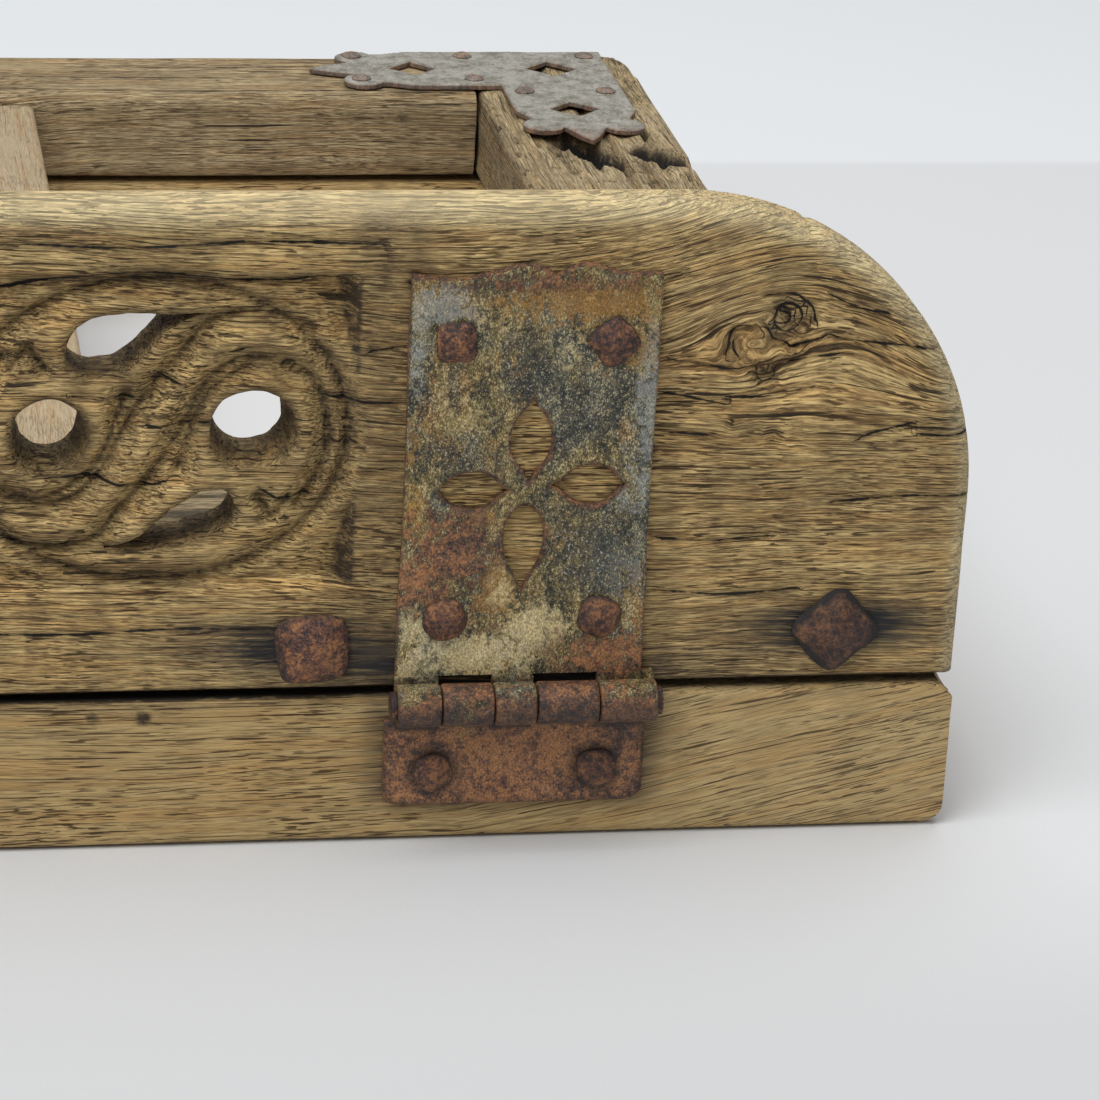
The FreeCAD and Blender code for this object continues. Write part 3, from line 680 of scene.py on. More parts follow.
# %% Carving lines
ROUNDEL = np.array((47.0, 102.0))
OVAL_X, OVAL_Z = 44.3, 36.0
OVAL = ellipse((0.0, 0.0), OVAL_X, OVAL_Z)
S_LINE = smooth_curve([
    (35.8, 24.0), (27.6, 27.3), (21.8, 27.9), (17.2, 27.3), (11.9, 25.2), (6.7, 18.5), (1.5, 12.5), (-3.8, 4.6),
    (-8.4, -3.9), (-11.3, -9.9), (-16.6, -15.4), (-24.7, -17.2), (-32.8, -13.6),
])
SPIRAL = smooth_curve([
    (6.0, -9.0), (8.4, -1.0), (10.6, 5.2), (14.2, 10.2), (21.8, 15.2), (28.8, 16.6), (35.6, 12.5), (39.0, 5.2),
    (39.6, -3.0), (37.4, -11.0), (33.0, -18.0),
])
CHIP = np.array([(-31.5, 15.5), (-27.6, 20.5), (-24.0, 15.5)])
COMMA = smooth_curve([
    (-19.2, 18.9), (-15.5, 26.0), (-7.1, 28.3), (0.3, 28.4), (7.5, 28.0), (10.4, 27.6), (3.7, 24.4),
    (-1.6, 18.7), (-5.8, 14.7), (-11.2, 13.0), (-16.5, 14.3),
], 6, closed=True)
SLIM_COMMA = smooth_curve([
    (18.9, -19.9), (17.6, -22.8), (13.3, -25.2), (6.3, -27.2), (-0.3, -28.2), (-7.5, -28.0), (-10.4, -27.6),
    (-3.7, -25.6), (0.7, -21.9), (5.7, -17.7), (11.1, -14.4), (15.8, -13.5), (18.3, -15.5),
], 6, closed=True)
EYES = [ellipse((22.9, 0.4), 9.9, 9.5), ellipse((-22.5, -0.9), 8.8, 9.2)]
OPENINGS = [COMMA, SLIM_COMMA, *EYES]
GROOVES = [(np.concatenate([OVAL, OVAL[:1]]), 6.2, 4.0)]
for line, half_width, deep in ((S_LINE, 6.4, 4.3), (SPIRAL, 5.8, 4.1), (CHIP, 3.4, 3.0)):
    GROOVES += [(line, half_width, deep), (-line, half_width, deep)]
print(len(GROOVES), "grooves,", sum(len(line) for line, _, _ in GROOVES), "points")

# %% Carved height
BOARD_TOP, BOARD_FOOT = BOARD_HIGH[2], BOARD_LOW[2]
BOARD_END, BOARD_THICK = BOARD_HIGH[0], BOARD_HIGH[1] - BOARD_LOW[1]
SHOULDER = 71.0
SHOULDER_X, SHOULDER_Z = BOARD_END - SHOULDER, BOARD_TOP - SHOULDER
FIELD_EDGE = 46.2
ROUNDEL_REACH = (52, 44)


def folded(spots):
    """Places on the right half; the left half mirrors it."""
    return np.c_[np.abs(spots[:, 0]), spots[:, 1]]


def in_roundel(spots):
    """Places on the board as places in the nearer roundel."""
    return folded(spots) - ROUNDEL


def carved_depth(local):
    """Depth of the carving, and the dirt and painted shade in it.

    The depth is that of the deepest groove, whose sides flare out as the square of the distance, so that the
    bands between are cushions. The field's corners are chopped in deepest at their upright edge. Dirt and
    painted shade lie along the bottom line of each groove, and painted shadow lies on the chopped walls.
    """
    depth, dirt_and_shade = np.zeros(len(local)), np.zeros(len(local))
    near = np.flatnonzero((np.abs(local) < ROUNDEL_REACH).all(1))
    spots = local[near]
    cut, groove_dirt_and_shade = np.zeros(len(near)), np.zeros(len(near))
    for line, half_width, deep in GROOVES:
        away, _ = to_line(spots, line)
        share = np.clip(1.0 - away / half_width, 0.0, 1.0)
        cut = np.maximum(cut, deep * share**2)
        groove_dirt_and_shade = np.maximum(groove_dirt_and_shade, 0.34 * bell(away, 0.9) + 0.20 * share)
    u, v = np.abs(spots[:, 0]), np.abs(spots[:, 1])
    oval_side = OVAL_X * np.sqrt(np.clip(1.0 - (v / OVAL_Z)**2, 0.0, 1.0))
    wall_top = FIELD_EDGE - 0.6 - 4.4 * soft_step(v, 10.0, 37.0)
    in_field = soft_step(u, FIELD_EDGE + 0.3, wall_top) * soft_step(v, 38.2, 35.2)
    corner = np.clip((u - oval_side) / np.maximum(wall_top - oval_side, 1.0), 0.0, 1.0)
    chop = 4.8 * corner * soft_step(v, 11.0, 33.0) * in_field
    wall = soft_step(u, wall_top - 0.8, wall_top + 0.4) * soft_step(u, FIELD_EDGE + 0.6, FIELD_EDGE - 0.2)
    foot = np.clip((u - wall_top) / np.maximum(FIELD_EDGE - wall_top, 0.5), 0.0, 1.0)
    crumbs = 0.30 * wander(on_plane(spots), (2.0, 3.0, 5.0), 16)
    # painted shadow on the chopped upright walls of the sunk corners
    chopped_wall_shade = wall * (0.62 + 0.55 * foot + crumbs) * soft_step(v, 12.0, 17.0) * soft_step(v, 37.8, 35.0)
    rim = np.clip(1.0 + inside_any(spots, OPENINGS) / 2.4, 0.0, 1.0)
    depth[near] = np.maximum(cut, chop) + 1.2 * rim**2
    dirt_and_shade[near] = np.maximum.reduce([groove_dirt_and_shade, chopped_wall_shade, 0.50 * rim])
    return depth, dirt_and_shade


def to_outline(spots):
    """Distance in from the board's ends, level top and round shoulders, and distance up from its foot."""
    x, z = np.abs(spots[:, 0]), spots[:, 1]
    shoulder = SHOULDER - np.hypot(x - SHOULDER_X, z - SHOULDER_Z)
    plain = np.where(x > SHOULDER_X, np.where(z > SHOULDER_Z, shoulder, BOARD_END - x), BOARD_TOP - z)
    return np.maximum(plain, 0.0), z - BOARD_FOOT


print("deepest cut", carved_depth(np.array([(44.3, 0.0), (8.4, -1.0), (39.5, 33)]))[0].round(2), "mm")

# %% Board grid
KNOT_END, CARVED_END = 206.0, 94.0


def shoulder_columns(start, count):
    """Columns over the round shoulder at equal turns, from a start beyond the level top to the board's end."""
    turn = np.linspace(np.arcsin((start - SHOULDER_X) / SHOULDER), np.pi / 2, count)[1:]
    return SHOULDER_X + SHOULDER * np.sin(turn)


def board_grid():
    """Rows and columns over the board, close together on the roundels, round the knots and along the edges.

    Columns are level runs, then equal turns of the shoulder; rows are shares of the height at each column.
    """
    right = np.concatenate([np.arange(0.0, CARVED_END, 0.92), np.linspace(CARVED_END, SHOULDER_X, 46),
                            np.linspace(SHOULDER_X, KNOT_END, 46)[1:], shoulder_columns(KNOT_END, 42)])
    left = np.concatenate([np.arange(1.2, CARVED_END, 1.24), np.linspace(CARVED_END + 0.4, SHOULDER_X, 36),
                           shoulder_columns(SHOULDER_X, 48)])
    x = np.concatenate([-left[::-1], right])
    beyond = np.abs(x) - SHOULDER_X
    top = np.where(beyond > 0, SHOULDER_Z + np.sqrt(np.maximum(SHOULDER**2 - beyond**2, 0.0)), BOARD_TOP)
    edge = np.array((0.0, 0.35, 0.9, 1.7, 2.8, 4.2))
    tall = BOARD_TOP - BOARD_FOOT
    share = np.concatenate([edge, np.arange(5.9, 22, 1.5), np.arange(22.8, 100.5, 0.94),
                            np.arange(101.8, tall - 5, 1.6), tall - edge[::-1]]) / tall
    return np.stack([np.tile(x, (len(share), 1)), BOARD_FOOT + share[:, None] * (top - BOARD_FOOT)[None]], -1)


board_flat = board_grid()
print("board grid", board_flat.shape[:2], "points")

# %% [markdown]
# ## Knots, cracks and stains of the board
# The right shoulder holds a knotty swirl: the fibres rise over it in an arch and close behind it. The grain
# mark is bent the same way, as water bends round stones. Drying cracks are lines in millimetres, stored as
# the distance to the nearest one with a sign for its side, so that even a crack much thinner than a cell of
# the grid stays sharp. Iron nails have stained the oak black along the fibres.

# %% Board marks
KNOTS = [
    # place on the right half, radius of its rings and depth of its eye; the main knots come first
    ((190.9, 128.2), 4.6, 1.4), ((180.2, 121.8), 4.2, 0.5), ((193.0, 121.2), 2.2, 1.3),
    ((186.4, 115.4), 2.6, 1.6), ((183.8, 101.0), 1.7, 0.8), ((189.4, 99.8), 1.6, 0.9),
    ((194.2, 102.8), 1.6, 0.6), ((179.6, 102.5), 1.3, 0.5),
]
MAIN_KNOTS, LUMPY_KNOTS, UNEVEN = 2, 4, 0.38
ARCH_X, ARCH_HALF, ARCH_RISE = 197.0, 36.0, 15.0
NO_CRACK = 40.0
BOARD_CRACKS = [
    [(185.6, 133.9), (191.9, 134.1), (194.7, 132.4), (196.6, 130.5), (197.3, 127.7)],
    [(182.5, 126.0), (186.1, 125.9), (187.7, 123.6), (190.9, 122.2), (192.8, 121.2), (198.1, 123.0),
     (200.7, 124.4), (203.5, 123.5), (210.9, 122.4), (220.1, 121.4), (226.0, 120.0)],
    [(177.1, 119.5), (178.1, 125.1), (180.2, 126.5), (182.5, 126.0)],
    [(178.6, 122.6), (178.9, 120.6), (180.0, 119.0)],
    [(187.8, 128.4), (188.6, 130.8), (190.9, 131.6), (193.4, 130.6), (194.2, 128.3), (193.0, 126.0)],
    [(190.0, 129.6), (191.4, 129.0), (191.5, 127.4), (190.4, 127.0)],
    [(187.9, 126.8), (189.4, 125.3), (191.6, 125.0)],
    [(184.2, 116.8), (184.8, 114.0), (186.6, 113.0), (188.6, 114.2), (188.7, 116.4)],
    [(163.7, 118.9), (173.2, 117.2), (178.7, 116.2), (184.1, 116.6), (187.0, 117.0)],
    [(187.7, 116.1), (193.1, 117.9), (197.5, 118.8), (203.4, 119.7)],
    [(162.8, 110.9), (171.0, 109.2), (177.5, 107.7)],
    [(175.5, 109.7), (187.3, 109.5), (193.6, 110.9), (198.1, 111.7)],
    [(209.6, 99.0), (213.7, 100.5), (221.7, 102.6)], [(224.0, 99.8), (229.0, 99.4), (235.5, 99.4)],
    [(200.9, 133.7), (206.6, 130.9), (214.0, 129.4)], [(162.5, 101.3), (169.8, 100.7), (175.2, 100.2)],
    [(104, 137.5), (112, 136.6), (128, 138.0), (150, 137.2), (166, 139.5)],
    [(0, 134.6), (13.5, 135.9), (22.1, 137.9), (30.8, 138.9), (45.4, 139.3), (62.0, 138.1), (75.8, 137.5),
     (85.7, 137.8)],
    [(2, 146), (20, 146.8), (41, 145.9), (70, 147.2), (98, 146.5)],
    [(86.5, 110.2), (92.6, 109.1), (102.1, 108.9)], [(95.2, 121.2), (101.6, 122.2)],
    [(95.1, 92.4), (102.7, 93.4)],
    [(29.6, 111.4), (36.5, 110.3), (42.9, 110.4)], [(45.9, 104.0), (52.8, 103.7), (60.8, 104.2)],
    [(25.3, 91.6), (34.2, 91.2), (39.2, 89.9), (47.1, 89.1), (50.1, 90.5)],
    [(59.4, 122.1), (64.4, 121.0), (68.3, 122.0)], [(47.2, 115.9), (50.2, 114.8), (53.7, 113.7)],
    [(72.1, 88.5), (77.2, 85.7), (82.2, 86.7)], [(15.5, 76.0), (25.4, 74.2), (29.4, 75.2)],
    [(0, 54.6), (30, 53.9), (52, 54.8), (74, 54.1)], [(164, 62), (182, 60.8), (198, 61.9)],
    [(164, 75), (176, 74.2), (190, 75.2)], [(205, 83.5), (222, 84.6), (236, 84.2)],
]
IRON_STAINS_AND_HINGE_SHADOW = [
    # place, reach along the fibres, spread across them and strength; the last, at the foot of the hinge, is
    # iron stain and painted shadow in the notches between the knuckles
    ((84.0, 49.5), 26.0, 7.2, 0.86), ((66.0, 51.0), 24.0, 6.0, 0.20), ((207.4, 52.2), 23.0, 7.0, 1.15),
    ((132.5, 43.0), 38.0, 5.0, 1.15),
]
EDGE_DENT, DENT_DEEP, DENT_HALF = (195.9, 148.7), 1.3, 1.1


def crack_field(spots, cracks, reach=12.0):
    """Distance to the nearest crack with the sign of its side, so that it runs through zero on the crack."""
    best = np.full(len(spots), NO_CRACK)
    side = np.ones(len(spots))
    for crack in cracks:
        curve = smooth_curve(crack, 6)
        near = near_line(spots, curve, reach)
        away, facing = to_line(spots[near], curve)
        closer = away < best[near]
        best[near[closer]] = away[closer]
        side[near[closer]] = facing[closer]
    return best * side


def knot_reach(spots, unevenness=0.0):
    """For each knot: the distance from its eye, a little squeezed along the grain and, if asked, uneven."""
    x, z = folded(spots).T
    uneven = 1 + unevenness * wander(on_plane(folded(spots)), (3.4, 2.6, 5), 21)
    return [np.hypot((x - knot_x) * 0.80, z - knot_z) * uneven for (knot_x, knot_z), _, _ in KNOTS]


def board_grain(spots, depth):
    """Grain of the board along X: fibres arch over the knots, part round them and are stirred up inside."""
    x, z = folded(spots).T
    reaches = knot_reach(spots)
    across = z - ARCH_RISE * bell(x - ARCH_X, ARCH_HALF) * soft_step(z, 99.0, 131.0)
    for ((_, knot_z), radius, _), away in list(zip(KNOTS, reaches))[:MAIN_KNOTS]:
        across = across - (z - knot_z) * 0.55 * bell(away, 2.0 * radius)
    stir = np.max([bell(away, 1.3 * radius) for (_, radius, _), away in zip(KNOTS, reaches)], axis=0)
    swirl = on_plane(folded(spots))
    along = x + 2.6 * stir * wander(swirl, (3.6, 3.0, 5.0), 22)
    across = across + 1.1 * stir * wander(swirl, (3.0, 2.4, 5.0), 23)
    along = along * np.where(spots[:, 0] < 0, -1.0, 1.0)
    return np.c_[along, across + 0.03 * along, 0.35 * depth]


def knot_eyes(spots):
    """Depth of the knots' eyes, and the shade in them and in a thin ring round each knot."""
    depth, shade = np.zeros(len(spots)), np.zeros(len(spots))
    for (_, radius, deep), away, plain in zip(KNOTS, knot_reach(spots, UNEVEN), knot_reach(spots)):
        eye = bell(away, 0.36 * radius)
        ring = bell(away - 0.92 * radius, 0.70) * soft_step(plain, 1.45 * radius, 1.15 * radius)
        depth = np.maximum(depth, deep * eye + 0.30 * ring)
        shade = np.maximum(shade, 0.52 * deep * eye + 0.24 * ring)
    return depth, np.clip(shade, 0.0, 1.0)


def nail_stain_and_hinge_shadow(spots):
    """Black iron stain: strongest at the nail, drawn out along the fibres; at the foot of the hinge also
    painted shadow.
    """
    total = np.zeros(len(spots))
    for (x, z), reach, spread, strength in IRON_STAINS_AND_HINGE_SHADOW:
        off_x, off_z = np.abs(spots[:, 0]) - x, spots[:, 1] - z
        total += strength * np.exp(-np.abs(off_x / reach)**2.2 - np.abs(off_z / spread)**2.4)
    return np.clip(total, 0.0, 1.0)


print(len(BOARD_CRACKS), "cracks and", len(KNOTS), "knots")

# %% Board piece
EYE_HALF = 9.4


def ragged_openings(spots):
    """Positive on the wood, with the edges of the openings frayed a little."""
    fray = 0.28 * wander(on_plane(spots), (2.6, 2.0, 5.0), 15)
    return fray - inside_any(in_roundel(spots), OPENINGS)


def narrowed_eyes(spots, taper=2.0, reach=8.0):
    """Places on the back: drawn in round the eyes, which the carver's gouge left narrower behind."""
    moved, local = spots.copy(), in_roundel(spots)
    for eye in EYES:
        off = local - eye.mean(0)
        away = np.maximum(np.hypot(off[:, 0], off[:, 1]), 1e-6)
        pull = taper * soft_step(away, EYE_HALF + reach, EYE_HALF) / away
        moved -= off * pull[:, None] * np.c_[np.sign(spots[:, 0]), np.ones(len(spots))]
    return moved


spots, board_faces, board_walls = pierced_sheet(board_flat, ragged_openings)
local = in_roundel(spots)
cut, groove_dirt_and_shade = carved_depth(local)
# painted shade and dirt on the groove slopes that face down and towards the board's middle
down_slope_shade = np.clip((cut - carved_depth(local + 0.5)[0]) / 0.55, 0.0, 1.0)
groove_dirt_and_shade = np.clip(groove_dirt_and_shade + 0.48 * down_slope_shade, 0.0, 1.0)
eye_depth, eye_shade = knot_eyes(spots)
splits = crack_field(folded(spots), BOARD_CRACKS)
from_edge, from_foot = to_outline(spots)
in_wood = np.c_[spots, cut]
dent = DENT_DEEP * np.exp(-((spots - EDGE_DENT)**2).sum(1) / DENT_HALF**2)
spots = spots - np.outer(dent, (0.20, 0.45))

fall = np.maximum(edge_fall(from_edge, 6.0), edge_fall(from_foot, 2.0))
rear_fall = np.maximum(edge_fall(from_edge, 3.6), edge_fall(from_foot, 1.2))
rough = 0.20 * dents(in_wood, (38, 9, 5), 11) + 0.07 * dents(in_wood, (9, 1.6, 5), 12)
near_knot = soft_step(np.min(knot_reach(spots)[:LUMPY_KNOTS], axis=0), 8.0, 2.0)
lumps = 0.75 * dents(in_wood, (2.6, 1.9, 5), 17) * near_knot
tooling = 0.36 * dents(in_wood, (1.9, 2.2, 5), 13) * soft_step(cut, 0.2, 1.2)
front = -(fall + dent + cut + eye_depth + rough + tooling + lumps + 0.80 * bell(splits, 0.9))
back = -BOARD_THICK + rear_fall + 0.25 * dents(in_wood, (45, 6, 5), 14)
board_points, board_shell = sheet_shell(
    spots, board_faces, board_walls, front, back, upright(BOARD_LOW[1]), narrowed_eyes(spots))

x = np.abs(spots[:, 0])
# painted shadow and dirt on the wood beside each hinge, on its side towards the board's middle
hinge_shadow_and_dirt = 0.42 * soft_step(x, 84.0, 96.0) * soft_step(x, 112.0, 104.0)
# painted shade along the board's foot, which darkens the gap above the base
foot_gap_shade = 1.3 * soft_step(from_foot, 1.2, 0.3)
opening_edge = np.clip(1.0 + inside_any(local, OPENINGS) / 1.5, 0.0, 1.0)
board_marks = {
    "grain": np.concatenate([board_grain(spots, -front), board_grain(spots, -back)]),
    "hollow": np.concatenate([np.maximum.reduce([groove_dirt_and_shade, eye_shade, hinge_shadow_and_dirt, foot_gap_shade]),
                              0.12 + 0.70 * opening_edge]),
    "stain": np.concatenate([nail_stain_and_hinge_shadow(spots), 0 * x]),
    "bleach": np.concatenate([0.80 * soft_step(from_edge, 6.5, 1.2), 0.6 * soft_step(from_edge, 6.0, 1.0)]),
    "split": np.tile(splits, 2),
    "split_away": np.tile(np.abs(splits), 2),
}
finished_piece("carved_front_board", board_points, board_shell, oak_board, board_marks)

# %% [markdown]
# ## Worn rails
# A rail starts as a sawn bar. Carrying a rounded rectangle along its length gives the bar; letting the first
# and last sections shrink closes the ends. Wear only takes wood away, so every point moves inwards: a slow
# unevenness, fine ridges along the fibres, and pits or broken corners where a piece has them.

# %% Bar surface
END_RADIUS = 0.8
END_SHARES = np.array((0.2, 0.45, 0.7, 0.9))


def rounded_section(half_across, half_up, radius, cell):
    """Points round a rectangle with round corners, counter-clockwise, and the outward direction at each."""
    points, outward = [], []
    turn = np.linspace(0, np.pi / 2, 5)
    for quarter, signs in enumerate(((1, 1), (-1, 1), (-1, -1), (1, -1))):
        middle = np.array((signs[0] * (half_across - radius), signs[1] * (half_up - radius)))
        angle = turn + quarter * np.pi / 2
        ray = np.c_[np.cos(angle), np.sin(angle)]
        straight = (half_across if quarter % 2 == 0 else half_up) - radius
        steps = max(int(round(2 * straight / cell)), 2)
        flow = np.array((-ray[-1, 1], ray[-1, 0]))
        run = ray[-1:] * radius + middle + flow * np.linspace(0, 2 * straight, steps, endpoint=False)[1:, None]
        points += [middle + radius * ray, run]
        outward += [ray, np.tile(ray[-1:], (steps - 1, 1))]
    return np.concatenate(points), np.concatenate(outward)


def bar_surface(low, high, axis, radius, cell, along_cell):
    """A rounded rectangle carried along an axis, with ends that round over and close to a point.

    Returns points, four-cornered faces and three-cornered end faces.
    """
    across = 1 - axis
    middle, half = (low + high) / 2, (high - low) / 2
    section, outward = rounded_section(half[across], half[2], radius, cell)
    length = high[axis] - low[axis]
    turn = np.linspace(0, np.pi / 2, 4)
    bend, place = END_RADIUS * (1 - np.sin(turn)), END_RADIUS * (1 - np.cos(turn))
    inner = np.linspace(END_RADIUS, length - END_RADIUS, max(int(length / along_cell), 4))[1:-1]
    cap = np.full(4, END_RADIUS)
    along = np.concatenate([np.zeros(4), place, inner, length - place[::-1], np.full(4, length)])
    inset = np.concatenate([cap, bend, np.zeros(len(inner)), bend[::-1], cap])
    scale = np.concatenate([END_SHARES, np.ones(len(along) - 8), END_SHARES[::-1]])
    rings = (section[None] - outward[None] * inset[:, None, None]) * scale[:, None, None]
    points = np.empty(rings.shape[:2] + (3,))
    points[..., axis] = low[axis] + along[:, None]
    points[..., across] = middle[across] + rings[..., 0]
    points[..., 2] = middle[2] + rings[..., 1]
    ends = np.array([middle, middle])
    ends[:, axis] = low[axis], high[axis]
    points = np.concatenate([points.reshape(-1, 3), ends])
    quads = grid_quads(*rings.shape[:2], closed=True)
    caps = tube_ends(*rings.shape[:2], len(points) - 2, len(points) - 1)
    return (points, quads[:, ::-1], caps[:, ::-1]) if axis == 1 else (points, quads, caps)


trial, trial_quads, _ = bar_surface(np.zeros(3), np.array((100.0, 40.0, 30.0)), 0, 3.0, 4.0, 6.0)
outwards = point_normals(trial, trial_quads)[:, 2] * (trial[:, 2] - 15.0)
print("bar faces point outwards:", bool(outwards.sum() > 0))

# %% Worn rail


def worn_rail(node, axis, finish, seed, cells, radius, wear, span=None, pits=None, reshape=None, slant=None,
              cracks=None, fibre_length=1.0, **marks_of):
    """A worn bar that stands for a rail: noise and pits push the surface in along its own direction.

    The span along the axis is that of the solid, unless the solid's ends are tenons inside other rails.
    """
    low, high = box_mm(node)
    if span is not None:
        low[axis], high[axis] = span
    points, quads, ends = bar_surface(low, high, axis, radius, *cells)
    points = points if reshape is None else reshape(points)
    drawn_out = np.eye(3)[axis]
    depth = wear * (0.30 * dents(points, 7.0 + 48.0 * drawn_out, seed)
                    + 0.12 * dents(points, 2.2 + 23.8 * drawn_out, seed + 1))
    nothing = np.zeros(len(points))
    pit_depth, dirt_and_shade = (nothing, nothing) if pits is None else pits(points)
    points = points - point_normals(points, quads) * (depth + pit_depth)[:, None]
    points = np.clip(points, low, high)
    along, across = points[:, axis], points[:, 1 - axis]
    bend = 1.5 * wander(points, 120.0, seed + 2)
    rise = 0.0 if slant is None else slant(points)
    splits = nothing + NO_CRACK if cracks is None else cracks(points)
    grain = np.c_[along / fibre_length + 400.0 * seed, across + bend + 90 * seed, points[:, 2] + bend - rise]
    marks = {"grain": grain, "hollow": dirt_and_shade, "stain": nothing, "bleach": nothing, "split": splits,
             "split_away": np.abs(splits)}
    marks.update({label: mark_of(points) for label, mark_of in marks_of.items()})
    finished_piece(node, points, [*quads, *ends], finish, marks, 50.0)


FRONT_Y = BOARD_LOW[1]
_, base_front_high = box_mm("base_front_rail")
base_back_low, _ = box_mm("base_back_rail")
lid_end_low, lid_end_high = box_mm("lid_end_rail_right")
lid_back_low, _ = box_mm("lid_back_rail")
_, lid_front_high = box_mm("lid_front_rail")
INNER_END, LID_TOP = lid_end_low[0], lid_end_high[2]
print("rails between", INNER_END.round(1), "and", lid_end_high[0].round(1), "mm from the middle")

# %% [markdown]
# ## The base frame
# Four planed bars of paler oak. Only the front one is seen closely: its grain slants towards the right end,
# the upper right corner is knocked off, the lower right corner is rounded, and the oak round the short hinge
# leaves is stained dark by the iron.

# %% Base rails
HINGE_X = 132.5
TOP_WEAR = 0.9
SMALL_EYES = ((34.4, 33.0, 1.5), (46.1, 33.0, 1.9))


def base_corners(points):
    """Take off the outer corners, a short slope above and a rounder one below, and wear the top edge down."""
    x, z = np.abs(points[:, 0]), points[:, 2]
    end, top = base_front_high[0], base_front_high[2]
    upper = end - 0.9 * np.clip(z - (top - 4.0), 0, 4) - 0.4
    lower = end - edge_fall(np.maximum(z, 0.0), 7.0)
    worn = TOP_WEAR * soft_step(z, top - 6.0, top) * soft_step(points[:, 1], FRONT_Y + 20, FRONT_Y + 4)
    return np.c_[np.sign(points[:, 0]) * np.minimum(x, np.minimum(upper, lower)), points[:, 1], z - worn]


def leaf_stain(points):
    """Dark halo of the short leaf on the front face."""
    off = np.abs(np.abs(points[:, 0]) - HINGE_X)
    beside = soft_step(off, 38.5, 31.0) * soft_step(points[:, 2], 4.0, 14.0)
    return 0.58 * beside * soft_step(points[:, 1], FRONT_Y + 6, FRONT_Y + 1)


def base_slant(points):
    """Rise of the fibres towards the right end, where the tree leaned."""
    return 0.10 * np.clip(np.abs(points[:, 0]) - 120.0, 0.0, None)**1.15


def dry_end(points):
    """The rail is a little paler towards its ends."""
    return 0.13 * soft_step(np.abs(points[:, 0]), 150.0, 185.0)


def base_eyes_and_edge_shade(points):
    """Two small dark eyes near the upper edge, left of the hinge, and painted shade along that edge, in the gap
    under the board.
    """
    x, z = np.abs(points[:, 0]), points[:, 2]
    top = base_front_high[2] - TOP_WEAR
    # painted shade: a strip below the worn top edge and the edge itself, as the gap under the board
    total = 0.42 * soft_step(z, top - 2.6, top - 1.6) * soft_step(x, 104.0, 92.0)
    total = total + 1.2 * soft_step(z, top - 0.5, top - 0.1)
    for eye_x, eye_z, radius in SMALL_EYES:
        total = np.maximum(total, 0.85 * soft_step(np.hypot(x - eye_x, z - eye_z), 1.25 * radius, 0.7 * radius))
    return np.where(points[:, 1] < FRONT_Y + 6, total, 0.0)


worn_rail("base_front_rail", 0, oak_base, 1, (1.05, 1.05), 2.2, 0.55, reshape=base_corners, slant=base_slant,
          fibre_length=1.5, stain=leaf_stain, hollow=base_eyes_and_edge_shade, bleach=dry_end)
worn_rail("base_back_rail", 0, oak_base, 2, (2.4, 3.2), 2.0, 0.8)
for side, seed in (("left", 3), ("right", 4)):
    worn_rail(f"base_end_rail_{side}", 1, oak_base, seed, (2.4, 3.2), 2.0, 0.8,
              span=(base_front_high[1], base_back_low[1]))

# %% [markdown]
# ## The lid frame
# The rails behind the carved board have lain open to worms and weather. The back rail has a soft inner edge
# with a long crack. The right end rail is the worst: galleries run along its top, a hollow opens under the
# tip of the iron bracket, and a strip of its outer edge has broken away.

# %% Lid rails
CORNER_RADIUS = 15.0
RAIL_MIDDLE = 210.0
HOLLOW_SPOT, NOTCH_SPOT = (209.0, 118.0), (228.0, 115.0)
BACK_CRACKS = [
    [(-150, 183), (-60, 181.6), (0, 182.5), (40, 184), (90, 181.2), (140, 182.6), (176, 180)],
    [(40, 197), (80, 196), (120, 197.4)], [(60, 209), (100, 208), (132, 209.5)], [(-90, 200), (-30, 199)],
]


def rounded_corner(sign):
    """Round the outer back corner in plan, as handling has done."""
    def reshape(points):
        plan = points[:, :2] * (sign, 1)
        middle = lid_end_high[:2] - CORNER_RADIUS
        off = plan - middle
        past = (off > 0).all(1)
        far = np.hypot(off[:, 0], off[:, 1])
        pull = np.where(past & (far > CORNER_RADIUS), CORNER_RADIUS / np.maximum(far, 1e-6), 1.0)
        moved = np.where(past[:, None], middle + off * pull[:, None], plan)
        return np.c_[moved[:, 0] * sign, moved[:, 1], points[:, 2]]
    return reshape


def slanted_oval(x, y, spot, slant, half_x, half_y):
    """0 in the middle of an oval in plan and 1 on its edge; the oval leans with the slant."""
    off = x - spot[0]
    return np.hypot(off / half_x, (y - spot[1] + slant * off) / half_y)


